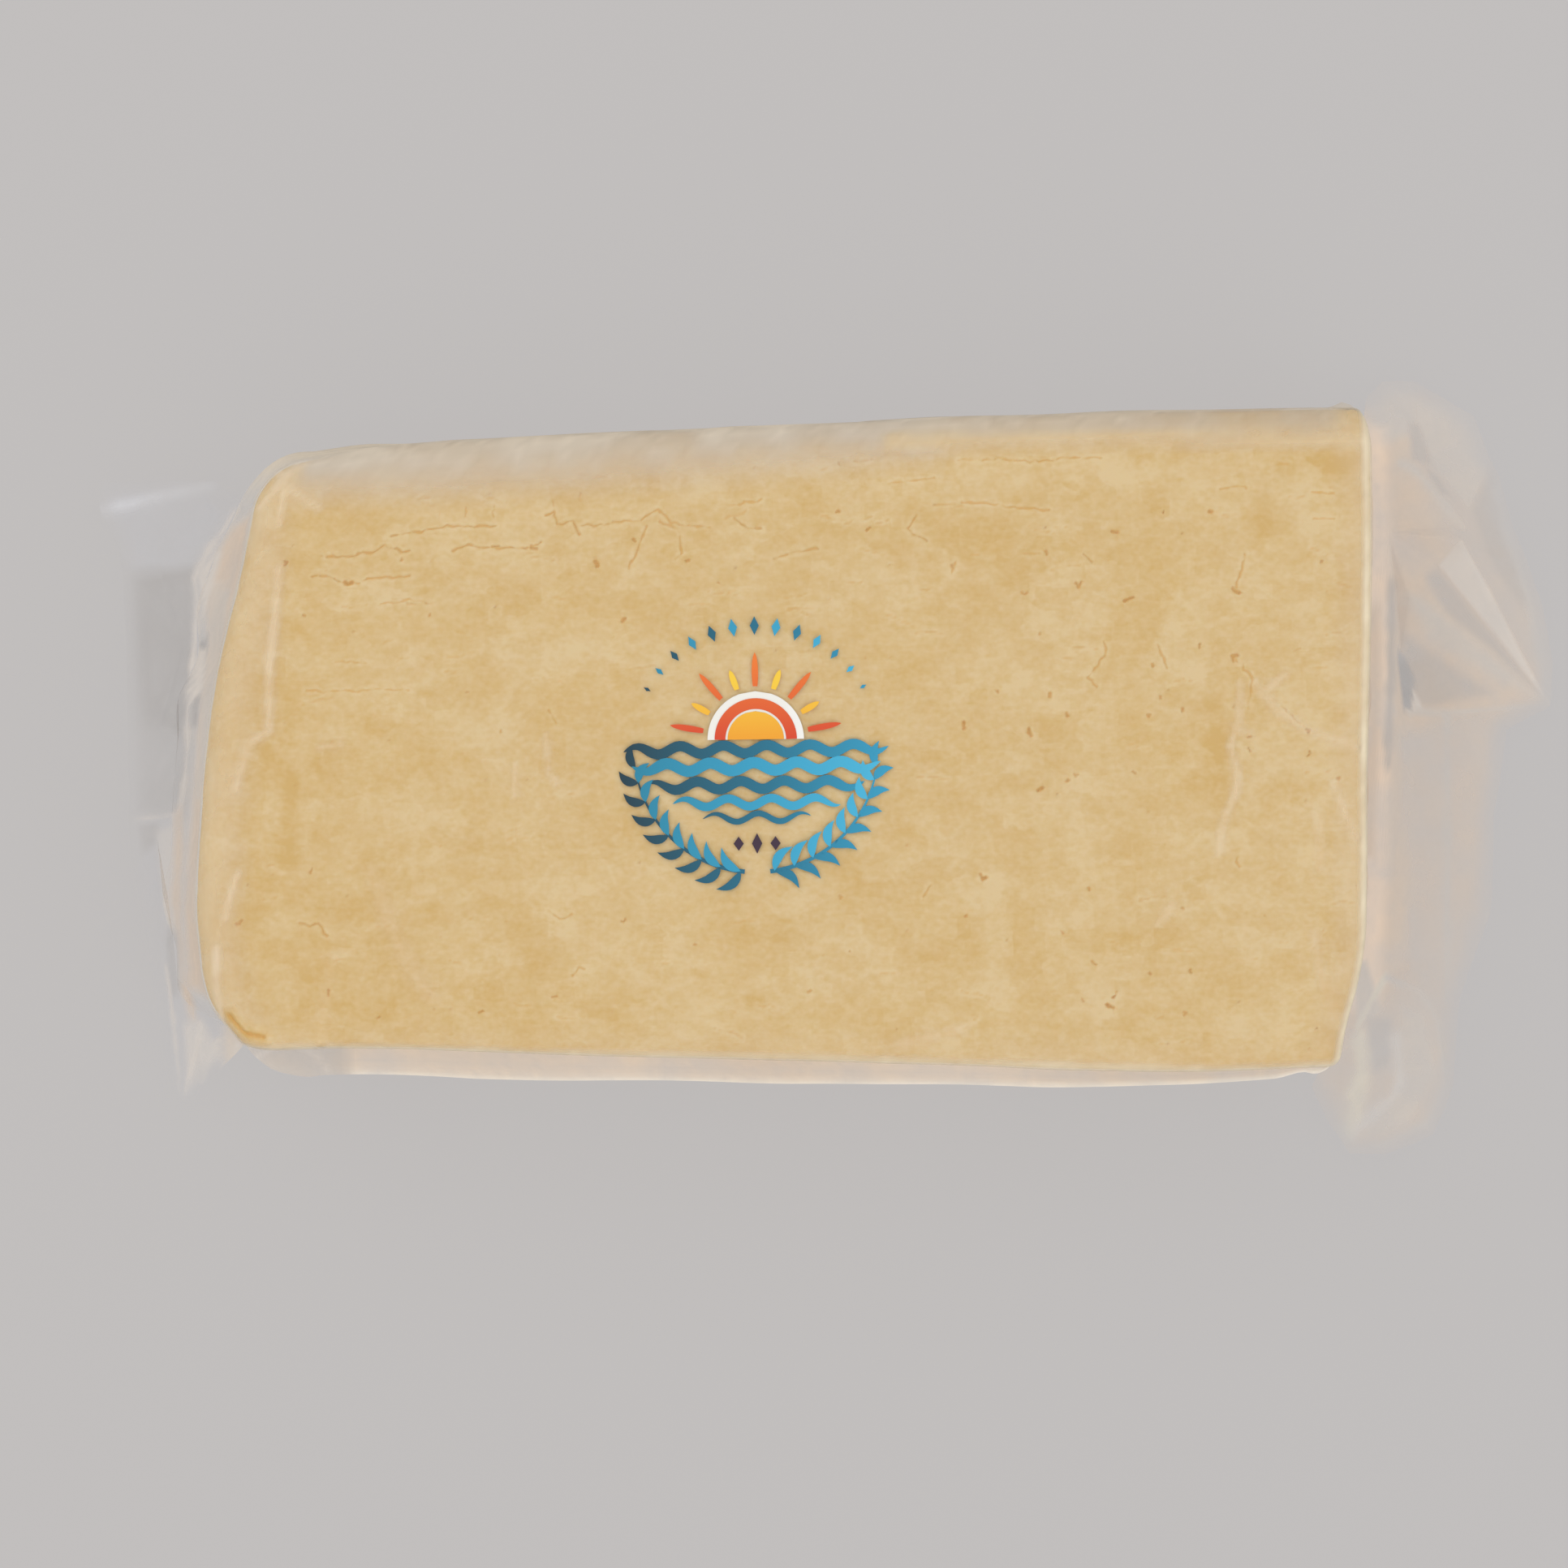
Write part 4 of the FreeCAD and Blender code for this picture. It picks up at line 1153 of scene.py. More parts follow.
def soften(points, triangles, rounds, fixed):
    """Heights eased towards those of their neighbours, except at the fixed points."""
    sides = np.unique(sides_of(triangles), axis=0)
    for _ in range(rounds):
        total = np.zeros(len(points))
        count = np.zeros(len(points))
        for first, second in (sides.T, sides[:, ::-1].T):
            np.add.at(total, first, points[second, 2])
            np.add.at(count, first, 1)
        eased = 0.5 * points[:, 2] + 0.5 * total / count
        points[:, 2] = np.where(fixed, points[:, 2], eased)
    return points


# %% A wing of film from its fold net
# A wing is held along the weld and hangs looser away from it, and its cut edge is clearer.
HELD = 0.5
LOOSE_WIDTH = 6.0
CRUMPLE_RISE, CRUMPLE_SHIFT = 0.45, 0.35
WING_FLOOR = 0.4
EDGE_FADE, EDGE_SHARE = 5.0, 0.25


def make_wing(name, on_side, outer, creases, marks, base_cloud, base_tint):
    """A welded end of the pouch, from the weld line out to its cut edge."""
    inner = [tuple(point) for point in weld[on_side(weld)]]
    inner.sort(key=lambda point: point[1])
    inner = inner[:-3:5] + [inner[-1]]
    points, triangles = fold_net(inner + outer, creases)
    away = line_distance(points[:, :2], np.array(inner)[:, :2])
    points = soften(points, triangles, 2, away < HELD)
    loose = soft_step(away / LOOSE_WIDTH)
    rise = CRUMPLE_RISE * smooth_noise(points, 5.0, 51) + 0.05 * smooth_noise(points, 2.0, 52)
    points[:, 2] += loose * rise
    shift = np.column_stack([smooth_noise(points, 7.0, seed) for seed in (53, 54)])
    points[:, :2] += (loose * CRUMPLE_SHIFT)[:, None] * shift
    points[:, 2] = np.maximum(points[:, 2], WING_FLOOR)
    bm = bmesh.new()
    add_faces(bm, points, triangles)
    bmesh.ops.recalc_face_normals(bm, faces=bm.faces)
    print(name, len(points), "points")
    from_edge = line_distance(points[:, :2], np.array(outer)[:, :2])
    edge_fade = EDGE_SHARE + (1 - EDGE_SHARE) * soft_step(from_edge / EDGE_FADE)
    return finish_film(name, bm, marks, base_cloud, base_tint, edge_fade)


# %% The left end: its cut edge and its creases
# Each point is x, y and height. The cut edge runs from the far corner to the near one.
LEFT_OUTER = [
    (-108.5, 52.8, 12), (-119.1, 53.2, 9), (-131.1, 53.5, 6), (-131.7, 48.2, 6), (-128.6, 41, 5),
    (-127.4, 35.6, 5), (-126.8, 5.4, 4), (-126.9, -10.9, 5), (-126.3, -19.6, 4.5), (-123.5, -38.4, 4),
    (-121.9, -50, 4), (-120.6, -58, 3), (-118.2, -65.6, 3), (-115.6, -65.9, 4), (-113.4, -63, 6),
    (-110, -60.6, 8),
]
LEFT_CREASES = [
    [(-131.7, 48.2, 6), (-120.7, 49.8, 10), (-110.2, 51.6, 12.5)],
    [(-127.4, 35.6, 5), (-120, 36, 9), (-114, 36.2, 12.5)],
    [(-127.4, 35.6, 5), (-120.7, 49.8, 10)],
    [(-114, 36.2, 12.5), (-111, 46, 12)],
    [(-126.9, -10.9, 5), (-117.6, -10.8, 11)],
    [(-115.4, 21, 11), (-121.5, 4.7, 5), (-116.2, 4, 11)],
    [(-117.6, -10.8, 11), (-121, -15.2, 8), (-126.3, -19.6, 4.5)],
    [(-121, -15.2, 8), (-119.2, -27, 7), (-119.8, -40, 8), (-118, -51.6, 8.5), (-118.2, -65.6, 3)],
    [(-118, -51.6, 8.5), (-113, -54, 10.5), (-113.4, -63, 6)],
    [(-118, -51.6, 8.5), (-114.8, -58, 5.5), (-115.6, -65.9, 4)],
]

# %% The left end: milky folds, painted highlights, painted shade and painted warm light
TENT_LINE = [
    (-104.1, 46.5), (-108.6, 41), (-112.4, 34.2), (-111.6, 26.5), (-112.8, 20), (-113.4, 8), (-113.9, -3.6),
    (-115.4, -10.6),
]
# Milky folds at the near left corner, with painted light on them.
CORNER_FOLDS = [
    patch(0.66, PALE_MILK_AND_LIGHT, 3.4, [(-108, -48), (-101, -53.6), (-86, -55), (-84, -62), (-98, -64), (-109.6, -62)]),
    patch(0.40, MILKY_FOLD_HIGHLIGHT, 1.6, [(-97, -54), (-93, -55), (-93.4, -60), (-97.6, -59)]),
    stroke(0.66, MILKY_FOLD_HIGHLIGHT, 1.1, [(-105.6, -55.4), (-105.2, -59.4), (-101.3, -59.9)]),
    stroke(0.62, MILKY_FOLD_HIGHLIGHT, 1, [(-102.9, -58.1), (-98.3, -55.2)]),
    stroke(0.66, MILKY_FOLD_HIGHLIGHT, 1.1, [(-96.2, -53.9), (-89.8, -57.4), (-87.4, -61.8), (-78.9, -62.6)]),
]
# Dark patches paint the shadow and shade under the end, pale strokes are milky folds with painted highlights,
# and warm patches paint light thrown from the cheese.
LEFT_MARKS = [
    patch(0.27, SMOKE_SHADE, 4, [(-127, 36.4), (-112, 36.8), (-112, 6), (-126, 4)]),
    patch(0.14, SMOKE_SHADE, 3.4, [(-126.4, 7), (-112.6, 7), (-113.6, -11), (-126, -11)]),
    patch(0.08, SMOKE_SHADE, 2.4, [(-131.5, 46), (-126.5, 35), (-126.8, -18), (-129, -18)]),
    patch(0.16, COOL_SHADE, 1.4, [(-131.6, 53.4), (-108, 52.8), (-110, 51.4), (-130.6, 48.2)]),
    patch(0.26, COOL_SHADE, 1.8, [(-130, 46.6), (-125.9, 35.9), (-113.3, 36.6), (-107, 46), (-110.5, 50.6)]),
    stroke(0.50, FROST_HIGHLIGHT, 2.5, [(-132, 47.6), (-121, 49.8), (-109.6, 52.1)], 0.05),
    patch(0.24, SMOKE_SHADE, 2, [(-114, 21.5), (-120.5, 6.7), (-114.4, 4)]),
    stroke(0.30, MILKY_FOLD_HIGHLIGHT, 0.9, [(-125.6, -11.8), (-120.5, -11.3), (-116.2, -10.8)]),
    patch(0.20, SMOKE_SHADE, 1.6, [(-125.2, -12.6), (-120.4, -12.4), (-120.6, -18.3), (-124.6, -18.3)]),
    patch(0.26, COOL_SHADE, 2.4, [
        (-115.2, -11), (-120, -15), (-125.4, -20), (-124.6, -29), (-120.6, -29), (-119.4, -20),
    ]),
    patch(0.28, MILKY_FOLD_HIGHLIGHT, 2.4, [(-121, -14), (-115, -12), (-115.4, -34), (-119.6, -32)]),
    patch(0.50, WARM_BOUNCE_LIGHT, 3.6, [
        (-99, 46), (-105, 44), (-109.6, 36), (-109.6, 20), (-111.4, 0), (-113.6, -20), (-115, -44),
        (-107, -46), (-108.6, -12), (-104.8, 15), (-100.4, 34.6),
    ]),
    patch(0.52, PALE_MILK_AND_LIGHT, 1.6, [
        (-103.8, 31), (-108.6, 34), (-109.4, 14), (-111.2, -8), (-108.4, -9), (-106.6, 10),
    ]),
    patch(0.30, SMOKE_SHADE, 1.2, [(-109.4, 23), (-111.4, 22), (-112.2, 6), (-110.8, 6)]),
    patch(0.50, MILKY_FOLD_HIGHLIGHT, 1.4, [(-111.8, 35), (-107.6, 39.8), (-106.6, 38.6), (-109.2, 30), (-110.4, 26)]),
    patch(0.50, MILKY_FOLD_HIGHLIGHT, 1.2, [(-112, 21), (-109.6, 20.6), (-109.8, 12.4), (-112.8, 10)]),
    stroke(0.42, MILKY_FOLD_HIGHLIGHT, 1.6, TENT_LINE),
    stroke(0.38, WARM_BOUNCE_LIGHT, 2.2, [(-115.4, -10.6), (-116, -25), (-115.6, -40), (-113.4, -52)]),
    stroke(0.18, SMOKE_SHADE, 2.6, [(-118, -34), (-117.8, -44)]),
    stroke(0.36, MILKY_FOLD_HIGHLIGHT, 1.2, [(-119.6, -40), (-118.4, -50), (-118, -60), (-118.2, -65)]),
    patch(0.34, MILKY_FOLD_HIGHLIGHT, 2, [(-116.4, -51), (-112, -50), (-108.6, -57), (-113, -62.5), (-116.6, -64.8)]),
    stroke(0.50, MILKY_FOLD_HIGHLIGHT, 1, [(-112.6, -51), (-114.2, -57), (-116.4, -62), (-117, -65.2)]),
    stroke(0.46, MILKY_FOLD_HIGHLIGHT, 1, [(-109, -54), (-111.6, -58.4), (-113.4, -62.8)]),
] + CORNER_FOLDS


def on_left_end(line):
    """Which points of the weld line the left end hangs on."""
    return (line[:, 0] < -103) & (np.abs(line[:, 1] + 3.5) < 56.0)


# The left end's base tint is painted cool shade.
make_wing("film_end_left", on_left_end, LEFT_OUTER, LEFT_CREASES, LEFT_MARKS, 0.10, COOL_SHADE)

# %% The right end: its cut edge and its creases
RIGHT_OUTER = [
    (112.4, 66.2, 10), (115.6, 69.3, 6), (122.4, 69.2, 5), (129.3, 64.9, 6), (133.5, 62.8, 5),
    (136.6, 54.3, 6), (138.6, 51, 4), (141.2, 41.6, 4), (144.2, 33.1, 4), (146.8, 26.6, 3), (148.6, 15, 3),
    (147.7, 6.6, 4), (139.5, 1.9, 3), (137, -13.7, 3), (135.9, -34.1, 3), (129.5, -49.6, 4),
    (128, -66.8, 4), (124.4, -76.1, 3), (115, -79.6, 3), (108, -79.4, 2.5), (104.1, -73.5, 4),
    (100.4, -66, 7),
]
RIGHT_CREASES = [
    [(126.2, 33.7, 8), (130.1, 38.3, 10.5), (147.7, 6.6, 4)],
    [(126.2, 33.7, 8), (147.7, 6.6, 4)],
    [(120.4, 52.8, 9.5), (130.8, 41.6, 8), (130.1, 38.3, 10.5)],
    [(122.4, 69.2, 5), (122, 60.6, 8.5), (125.2, 53.2, 6.5), (131.9, 44.2, 8), (136.6, 54.3, 6)],
    [(131.9, 44.2, 8), (138.6, 51, 4)],
    [(131.9, 44.2, 8), (140, 33, 7), (146.8, 26.6, 3)],
    [(120, 28, 11), (133, 18.6, 8), (147.7, 6.6, 4)],
    [(118.6, 16.9, 7), (120.4, 5.8, 6)],
    [(120.4, 5.8, 6), (130.3, 5.7, 6.5), (147.7, 6.6, 4)],
    [(116, 40, 12), (115.2, 8.3, 12), (114.8, -25.8, 12), (115, -45.4, 10)],
    [(120.4, 5.8, 6), (120.8, -20, 5.5), (120.4, -39.3, 7)],
    [(115, -45.4, 10), (121.2, -47.9, 9), (124.7, -53.9, 8), (126.4, -66.5, 6), (124.4, -76.1, 3)],
    [(115.8, -58.5, 9.5), (117.5, -65.7, 7.5), (108.2, -74.8, 5)],
    [(110.9, -57.8, 10.5), (111.6, -63.7, 8.5), (108.2, -74.8, 5)],
    [(115, -45.4, 10), (110.9, -57.8, 10.5)],
    [(121.2, -47.9, 9), (115.8, -58.5, 9.5)],
]

# %% The right end: milky folds, painted highlights, painted shade on facets and painted warm light
# Warm patches paint light thrown from the cheese; grey and dark ones paint shade on facets turned from the
# light; pale and cream strokes are milky folds with painted highlights.
RIGHT_MARKS = [
    patch(0.46, WARM_BOUNCE_LIGHT, 7, [
        (109, 66), (122, 58), (127, 40), (146, 8), (126, 4), (122, -20), (120, -44), (104, -60), (104, 60),
    ]),
    patch(0.30, WARM_BOUNCE_LIGHT, 5, [(126, 4), (146, 6), (138, -6), (133, -30), (120, -44), (118, 0)]),
    patch(0.32, PALE_MILK_AND_LIGHT, 3, [(112, 65.5), (116, 69), (122.4, 69), (122, 60), (113, 56)]),
    patch(0.38, PALE_MILK_AND_LIGHT, 1.2, [
        (122.2, 66), (129.3, 64.9), (133.5, 62.8), (136.8, 54), (131.9, 44.2), (125.4, 53.4), (122, 60.6),
    ]),
    patch(0.36, GREY_SHADE, 1.8, [(120.4, 61), (122.4, 61), (125.4, 53), (121, 54)]),
    patch(0.40, GREY_SHADE, 1.4, [(124, 52.4), (126.6, 50.8), (128.4, 47.2), (126, 47.4)]),
    stroke(0.46, PALE_MILK_AND_LIGHT, 1.8, [(118.4, 53.4), (121, 52.4), (124.6, 48.6), (130.4, 41.6)]),
    patch(0.34, GREY_SHADE, 2.6, [(132.4, 44), (137.4, 52.4), (140.4, 42), (143, 33), (146, 20), (136, 34)]),
    stroke(0.34, PALE_MILK_AND_LIGHT, 2, [(138, 48), (140.6, 38), (143.6, 28), (146.4, 16), (147.6, 8)]),
    patch(0.44, GREY_SHADE, 2.4, [(123.3, 31.4), (125.8, 33.2), (146.2, 8.4), (136, 17.6), (127, 24.6)]),
    patch(0.48, PALE_MILK_AND_LIGHT, 3.2, [(118.8, 29), (122, 27.4), (134, 18), (146.6, 7.4), (137, 12), (124, 19.6)]),
    patch(0.46, GREY_SHADE, 2.8, [(119, 20.5), (126, 16), (136, 9), (124, 6.6), (119.4, 8)]),
    patch(0.34, SMOKE_SHADE, 1.2, [(117.8, 17.6), (119.4, 16.4), (121.2, 12), (120.6, 6.2), (118.8, 6.4)]),
    patch(0.50, MILKY_FOLD_HIGHLIGHT, 0.7, [(121, 10.4), (123.2, 5.6), (120.8, 6)]),
    patch(0.60, MILKY_FOLD_HIGHLIGHT, 1, [
        (126.2, 33.7), (130.1, 38.3), (135.4, 29.4), (141.6, 17.6), (147.6, 6.8), (137.6, 19.8),
    ]),
    stroke(0.40, PALE_MILK_AND_LIGHT, 0.8, [(114, 6.2), (120.4, 5.8), (130.3, 5.6), (147.2, 6.6)]),
    patch(0.64, BUFF_BOUNCE_LIGHT, 4, [
        (108, 62), (115.6, 60), (116.6, 30), (116.2, 8), (114.8, -24), (113.2, -50), (104.4, -52),
        (106.2, -20), (108.2, 10),
    ]),
    patch(0.60, WARM_BOUNCE_LIGHT, 2.4, [(109.4, 26), (113.8, 26), (113.8, 8), (112, -22), (107.8, -22), (108.8, 6)]),
    stroke(0.46, GREY_SHADE, 2, [(116.4, 30), (116.2, 14), (115.2, -4)]),
    patch(0.44, PALE_MILK_AND_LIGHT, 2, [(107.6, -42), (110.2, -42), (114, -52), (108.6, -54)]),
    stroke(0.30, PALE_MILK_AND_LIGHT, 1.2, [(127.6, 5.2), (127.4, -20), (127, -50)]),
    patch(0.26, GREY_SHADE, 2, [(111, -53.1), (115.4, -53.2), (115.2, -62), (112, -63.3), (110.9, -58)]),
    stroke(0.38, MILKY_FOLD_HIGHLIGHT, 3, [(116.4, -57), (117.8, -65.7), (114.4, -71), (108.2, -75.4)]),
    stroke(0.36, CREAM_HIGHLIGHT, 3, [(109.4, -56), (109.8, -64), (108.6, -70), (107.6, -75)]),
    stroke(0.36, CREAM_HIGHLIGHT, 1.1, [(114.5, -45.2), (111, -50), (108.5, -54.7)]),
    stroke(0.36, PALE_MILK_AND_LIGHT, 1.3, [
        (115, -45.4), (121.2, -47.9), (124.7, -53.9), (126.6, -66), (123.6, -73.6), (115, -77.6),
        (108, -79),
    ]),
    patch(0.38, PALE_MILK_AND_LIGHT, 2.6, [(117, -50), (122, -52), (124.4, -64), (119, -74), (110, -77), (118.4, -66)]),
]


def on_right_end(line):
    """Which points of the weld line the right end hangs on."""
    return (line[:, 0] > 105.5) & (np.abs(line[:, 1]) < 60.6)


# The right end's base tint is painted warm light from the cheese.
make_wing("film_end_right", on_right_end, RIGHT_OUTER, RIGHT_CREASES, RIGHT_MARKS, 0.26, WARM_BOUNCE_LIGHT)

# %% The two sheets on the block
# Below the rim the sheets carry the same clouds as the ends that they run into, with the same painted light
# and shade.
END_MARKS = LEFT_MARKS + RIGHT_MARKS + FAR_BAND_HAZE_AND_LIGHT
wrap_sheet("film_upper_sheet", TOP, quads, TOP_MARKS, 0.05, PLEATS, END_MARKS)
wrap_sheet(
    "film_lower_sheet", BOTTOM, quads[:, ::-1], END_MARKS, 0.12, foot_cloud=0.15, end_share=0.3
)

# %% [markdown]
# ## The side weld
# Along the near side the sheets are welded into a narrow flat strip that stands out from the wall
# half way up. It is the thickest and milkiest part of the pouch, and its cut edge is milky with a
# painted highlight along it.

# %% The side weld strip
SEAM_ENDS = (-104.0, 104.0)
SEAM_WIDTHS = [
    (-104, 1), (-99, 3.6), (-92, 6.2), (-60, 6.7), (0, 5.8), (60, 4.4), (85, 3.7), (93, 3.4), (99, 2),
    (104, 0.8),
]
SEAM_COLUMNS = 8
EDGE_DROP = 0.6
SEAM_TINT = colour("#F8E6D2")
# The cut edge: milky, with a painted highlight along it.
SEAM_EDGE_HIGHLIGHT = colour("#FFF6E8")


def strip_quads(numbers):
    """The quads of a strip, from the numbers of its points in columns and rows."""
    corners = (numbers[:-1, :-1], numbers[:-1, 1:], numbers[1:, 1:], numbers[1:, :-1])
    return np.stack(corners, axis=-1).reshape(-1, 4)


def side_weld():
    """A strip from the wall outwards, with slow waves, tapered at both ends."""
    near = weld[(weld[:, 1] < -52.0) & (weld[:, 0] > SEAM_ENDS[0]) & (weld[:, 0] < SEAM_ENDS[1])]
    near = near[np.argsort(near[:, 0])]
    places, widths = np.array(SEAM_WIDTHS).T
    width = np.interp(near[:, 0], places, widths)
    width *= 1 + 0.06 * smooth_noise(near * (1, 0, 0), 24.0, 61)
    long_wave = 1.2 * smooth_noise(near * (1, 0, 0), 30.0, 62)
    short_wave = 0.35 * smooth_noise(near * (1, 0, 0), 7.0, 63)
    rows = []
    for column in np.linspace(0, 1, SEAM_COLUMNS):
        row = near.copy()
        row[:, 1] -= column * width
        row[:, 2] += column * (long_wave + short_wave)
        row[:, 2] -= EDGE_DROP * past(column, 0.8, 0.2)
        rows.append(row)
    points = np.concatenate(rows)
    numbers = np.arange(len(points)).reshape(SEAM_COLUMNS, len(near))
    bm = bmesh.new()
    add_faces(bm, points, strip_quads(numbers))
    bmesh.ops.recalc_face_normals(bm, faces=bm.faces)
    middle_line, edge_line = (rows[column][::12, :2] for column in (SEAM_COLUMNS // 2, -1))
    return bm, [stroke(0.56, SEAM_TINT, 1.6, middle_line), stroke(0.85, SEAM_EDGE_HIGHLIGHT, 1.2, edge_line, 0.1)]


seam_bm, seam_marks = side_weld()
# Milky film with painted light at the near left corner.
seam_marks.append(patch(0.46, PALE_MILK_AND_LIGHT, 4, [(-108, -50), (-85, -50), (-83, -68), (-108, -68)]))
finish_film("film_side_weld", seam_bm, seam_marks + CORNER_FOLDS[2:], 0.68, SEAM_TINT)

# %% [markdown]
# ## The print on the film
# The pouch is printed in glossy inks on the film over the middle of the slab. The design here is a
# plain one: a sun over water, held by two sprigs of leaves, in deep teal, sky blue, orange and
# yellow. Each motif is a flat ribbon of mesh, because crisp ink edges can't come from a noise, and
# it lies on the film so that it follows every slight hollow.

# %% Ribbons of ink
PRINT_MIDDLE = np.array([-5.5, -0.3])
INK_LIFT = 0.07


def ribbon(line, half_widths):
    """A flat strip along a line of x, y points: its points and quads."""
    line = np.array(line, float)
    half_widths = np.maximum(np.broadcast_to(half_widths, len(line)), 0.015)
    along_line = np.gradient(line, axis=0)
    along_line /= np.linalg.norm(along_line, axis=1, keepdims=True)
    side = np.column_stack([-along_line[:, 1], along_line[:, 0]])
    columns = max(2, 2 * math.ceil(half_widths.max() / 1.2))
    points = [line + side * (half_widths * share)[:, None] for share in np.linspace(-1, 1, columns + 1)]
    numbers = np.arange((columns + 1) * len(line)).reshape(columns + 1, len(line))
    return np.concatenate(points), strip_quads(numbers)


def print_piece(name, ribbons, material, lift):
    """One ink as a piece: all its ribbons, laid on the film."""
    bm = bmesh.new()
    for points, faces in ribbons:
        placed = points + PRINT_MIDDLE
        add_faces(bm, [(x, y, height_on_top(x, y) + CLING + lift) for x, y in placed], faces)
    bmesh.ops.recalc_face_normals(bm, faces=bm.faces)
    print(name, len(bm.faces), "faces")
    return finish_piece(name, bm, material)


def arc_points(radius, start, stop, count, middle=(0.0, 0.0)):
    """Points on a circle from one angle to another, in degrees."""
    angles = np.radians(np.linspace(start, stop, count))
    return np.column_stack([middle[0] + radius * np.cos(angles), middle[1] + radius * np.sin(angles)])


def leaf(root, angle, length, half_width):
    """A pointed leaf from its root, bent a little."""
    share = np.linspace(0, 1, 11)
    bend = 0.18 * length * np.sin(math.pi * share)
    heading = math.radians(angle)
    ahead = np.array([math.cos(heading), math.sin(heading)])
    aside = np.array([-ahead[1], ahead[0]])
    line = np.array(root) + share[:, None] * length * ahead + bend[:, None] * aside
    return ribbon(line, half_width * np.sin(math.pi * share**0.8))


# %% Material: gravure ink
# The cells of the printing cylinder leave dots about this many millimetres apart.
DOT_SIZE = 0.5


def gravure_ink(name, stops, axis="X", span=(0.0, 1.0)):
    """Solvent ink printed on film: smooth and even, and blended from stop to stop along one axis."""
    material, output = new_material(name)
    tree = material.node_tree
    place = add_node(tree, "ShaderNodeTexCoord").outputs["Object"]
    split = add_node(tree, "ShaderNodeSeparateXYZ", {"Vector": place})
    inputs = {"Value": split.outputs[axis], "From Min": span[0] * MM, "From Max": span[1] * MM}
    share = add_node(tree, "ShaderNodeMapRange", inputs)
    ramp = add_node(tree, "ShaderNodeValToRGB", {"Fac": share.outputs[0]})
    for place_on_ramp, _ in stops[1:-1]:
        ramp.color_ramp.elements.new(place_on_ramp)
    for element, (place_on_ramp, code) in zip(ramp.color_ramp.elements, stops):
        element.position = place_on_ramp
        element.color = colour(code)
    inputs = {"Vector": place, "Scale": 1 / (DOT_SIZE * MM), "Detail": 2.0}
    dots = add_node(tree, "ShaderNodeTexNoise", inputs).outputs["Fac"]
    rough = add_node(tree, "ShaderNodeMapRange", {"Value": dots, "To Min": 0.28, "To Max": 0.42}).outputs[0]
    inputs = {"Strength": 0.1, "Distance": 0.02 * MM, "Height": dots}
    bump = add_node(tree, "ShaderNodeBump", inputs).outputs[0]
    inputs = {"Base Color": ramp.outputs[0], "Roughness": rough, "IOR": 1.5, "Normal": bump}
    shader = add_node(tree, "ShaderNodeBsdfPrincipled", inputs)
    tree.links.new(shader.outputs[0], output.inputs[0])
    return material


# %% The motifs
SUN_RADIUS = 7.4
HORIZON = 2.0
teal, sky, orange, yellow, white, plum = ([] for _ in range(6))


def half_disc(radius, middle_y):
    """An upright half disc on the horizon."""
    share = np.linspace(0, 1, 18)
    heights = radius * share
    line = np.column_stack([np.zeros(18), middle_y + heights])
    return ribbon(line, np.sqrt(np.maximum(radius**2 - heights**2, 0)))


white.append(half_disc(SUN_RADIUS + 1.5, HORIZON))
yellow.append(half_disc(SUN_RADIUS - 2.2, HORIZON))
orange.append(ribbon(arc_points(SUN_RADIUS - 0.8, 0, 180, 40, (0, HORIZON)), 1.0))

# %% The rays, long ones in orange and short ones in yellow
RAYS = 9
LONG_RAY, SHORT_RAY = 8.6, 6.2
for number in range(RAYS):
    heading = math.radians(10 + 20 * number)
    ray_ink, length = (yellow, SHORT_RAY) if number % 2 else (orange, LONG_RAY)
    inner, outer = SUN_RADIUS + 2.4, SUN_RADIUS + length
    share = np.linspace(0, 1, 9)
    reach = inner + (outer - inner) * share
    line = np.column_stack([reach * math.cos(heading), HORIZON + reach * math.sin(heading)])
    ray_ink.append(ribbon(line, 0.95 * (1 - share) ** 0.7 * (0.4 + share) + 0.05))

# %% The waves
# Each wave is its middle height, half its length and half its width.
WAVES = [(0.2, 24.5, 0.95), (-3, 23, 1.05), (-6.4, 20, 0.95), (-9.6, 15.5, 0.8), (-12.4, 10, 0.55)]
WAVE_LENGTH, WAVE_HEIGHT, WAVE_SHIFT = 8.0, 0.75, 1.9
for row, (middle_y, half_span, half_width) in enumerate(WAVES):
    x = np.linspace(-half_span, half_span, 72)
    ends = np.clip((half_span - np.abs(x)) / 5.0, 0, 1) ** 0.6
    swell_line = middle_y + WAVE_HEIGHT * np.sin(2 * math.pi * x / WAVE_LENGTH + row * WAVE_SHIFT)
    (sky if row % 2 else teal).append(ribbon(np.column_stack([x, swell_line]), half_width * ends))

# %% The two sprigs, each the other's mirror image
STEM_RADIUS = 22.5
LEAVES = 8
LEAF_LEAN = 44
for side_sign in (-1, 1):
    start = 0 if side_sign > 0 else -180
    stem = arc_points(STEM_RADIUS, start - 84 * side_sign, start - 12 * side_sign, 50)
    teal.append(ribbon(stem, np.linspace(0.42, 0.16, 50)))
    for number in range(LEAVES):
        position = start - side_sign * (82 - 9.6 * number)
        root = arc_points(STEM_RADIUS, position, position, 1)[0]
        forward = position + 90 * side_sign
        for lean, ink in ((LEAF_LEAN, sky), (-LEAF_LEAN, teal)):
            ink.append(leaf(root, forward + lean * side_sign, 5.6 - 0.2 * number, 0.85))
    bud_angle = start - 8 * side_sign
    bud = arc_points(STEM_RADIUS, bud_angle, bud_angle, 1)[0]
    teal.append(leaf(bud, 90 - 6 * side_sign, 4.6, 0.8))


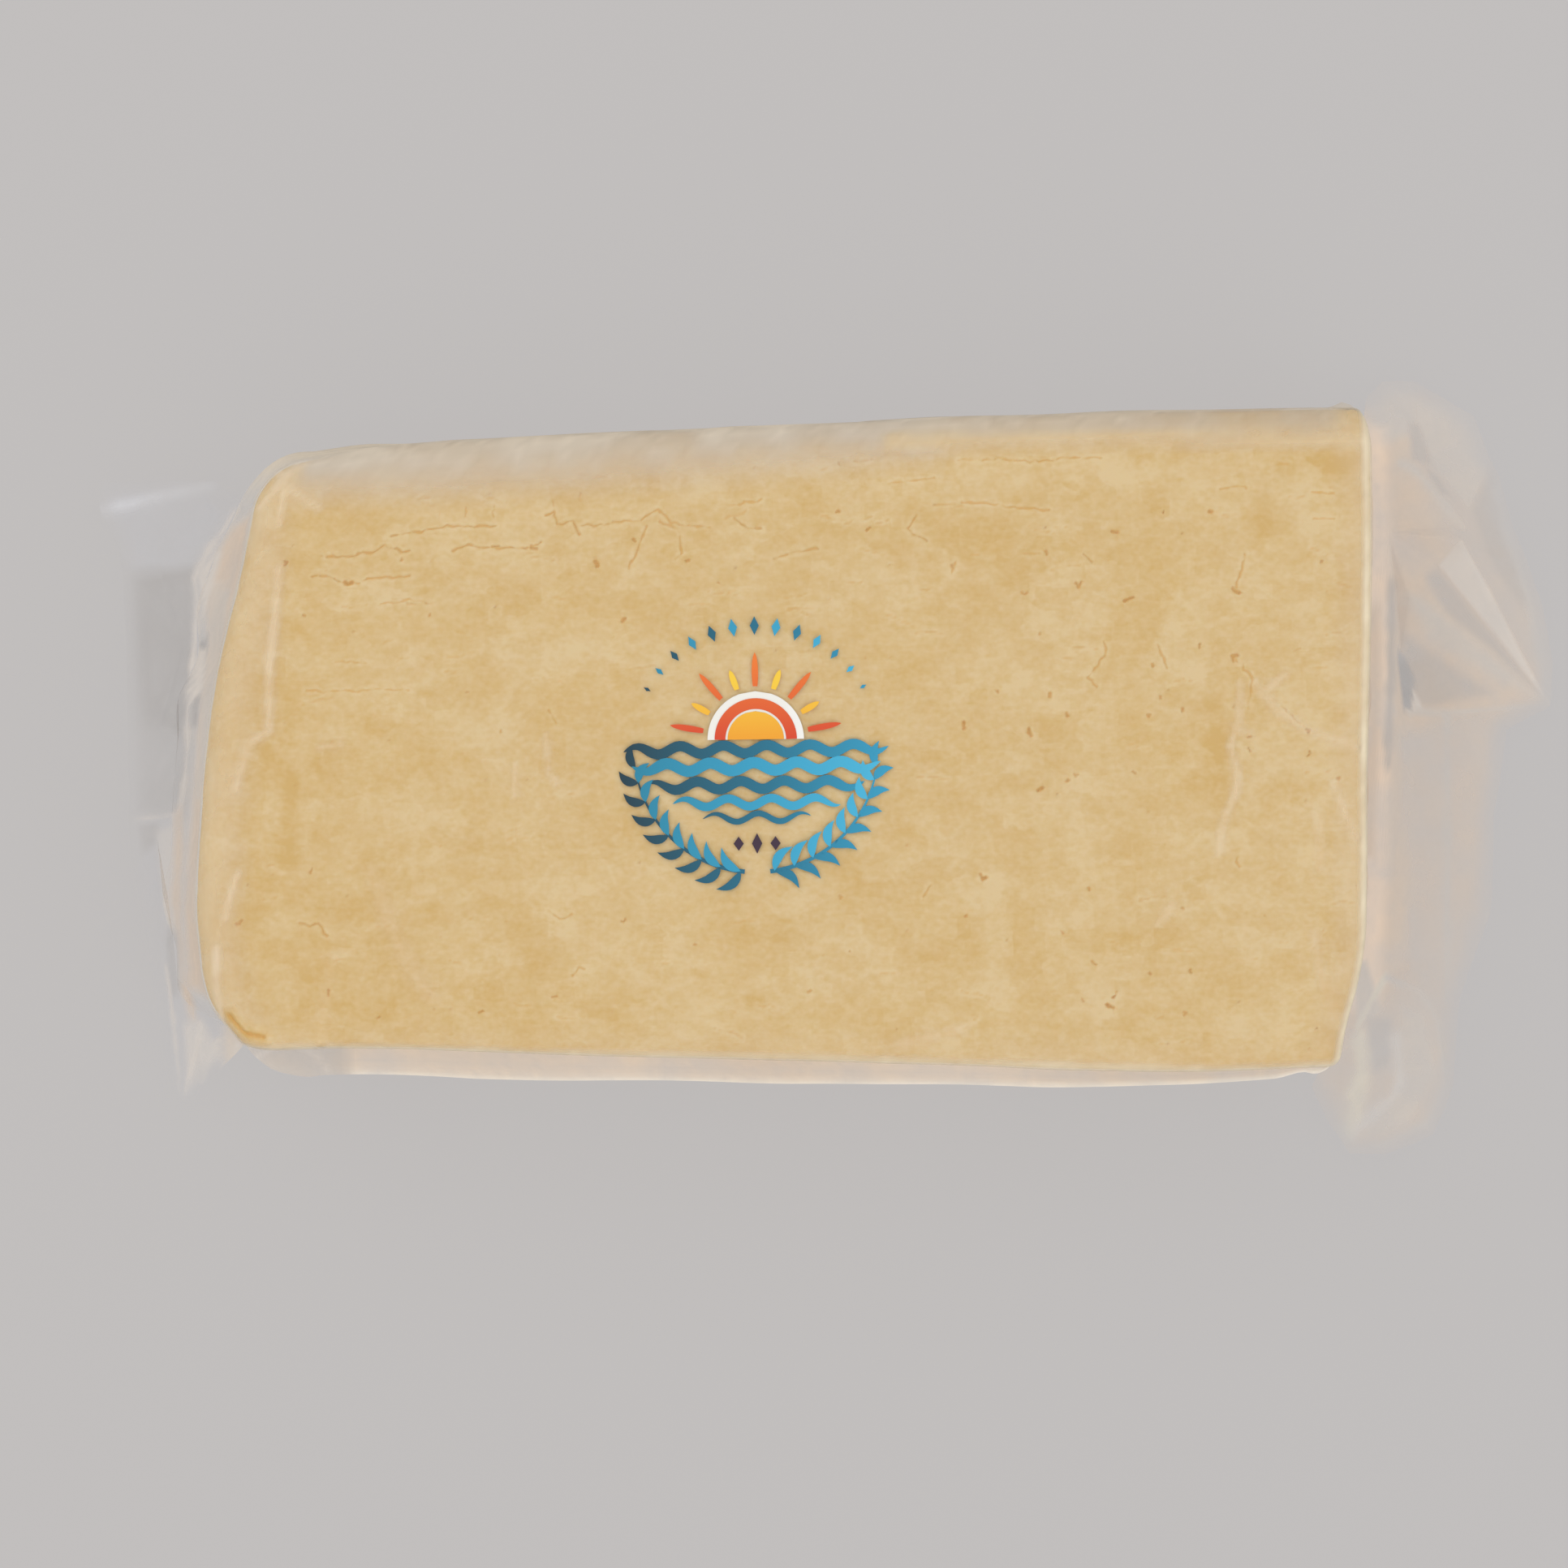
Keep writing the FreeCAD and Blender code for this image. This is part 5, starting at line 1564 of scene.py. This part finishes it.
# %% The diamonds, an arc of them over the sun and three below the water
def diamond(middle, ahead, half_length, half_width):
    """A slim diamond that points ahead."""
    share = np.linspace(-1, 1, 9)
    return ribbon(middle + share[:, None] * ahead * half_length, half_width * (1 - np.abs(share)))


ARC_DIAMONDS = 13
ARC_RADIUS = 23.0
for number in range(ARC_DIAMONDS):
    angle = math.radians(30 + 10 * number)
    ahead = np.array([math.cos(angle), math.sin(angle)])
    half_width = 0.35 + 0.5 * math.sin(math.pi * number / (ARC_DIAMONDS - 1))
    (sky if number % 2 else teal).append(diamond(ARC_RADIUS * ahead, ahead, 2.0 * half_width, half_width))

for x, length in ((-3.4, 2.6), (0.0, 3.8), (3.4, 2.6)):
    plum.append(diamond(np.array([x, -17.2]), np.array([0.0, 1.0]), length / 2, 0.95))

# %% Each ink on the film, from the first printed to the last
# An ink is its ribbons, how many ink layers it lies up, its stops, and the axis and span they blend over.
ACROSS = ("X", (PRINT_MIDDLE[0] - 25, PRINT_MIDDLE[0] + 25))
DEEP_TO_SKY = [(0.0, "#0C3442"), (0.55, "#176F8B"), (1.0, "#2C9CC2")]
SKY_TO_PALE = [(0.0, "#1B7F9C"), (0.5, "#2F9DC2"), (1.0, "#46B6DC")]
INKS = [
    ("print_white", white, 1.0, "ink_white", [(0.0, "#F1EEE6"), (1.0, "#F4F2EC")]),
    ("print_teal", teal, 2.0, "ink_deep_teal", DEEP_TO_SKY, *ACROSS),
    ("print_sky", sky, 2.5, "ink_sky_blue", SKY_TO_PALE, *ACROSS),
    ("print_orange", orange, 2.0, "ink_orange", [(0.0, "#D9431F"), (1.0, "#EF7A2B")], "Y", (2.0, 16.0)),
    ("print_yellow", yellow, 2.5, "ink_yellow", [(0.0, "#F2A324"), (1.0, "#F8CC3A")], "Y", (2.0, 12.0)),
    ("print_plum", plum, 2.0, "ink_aubergine", [(0.0, "#3A2338"), (1.0, "#432A40")]),
]
for name, ribbons, layers, *ink in INKS:
    print_piece(name, ribbons, gravure_ink(*ink), layers * INK_LIFT)
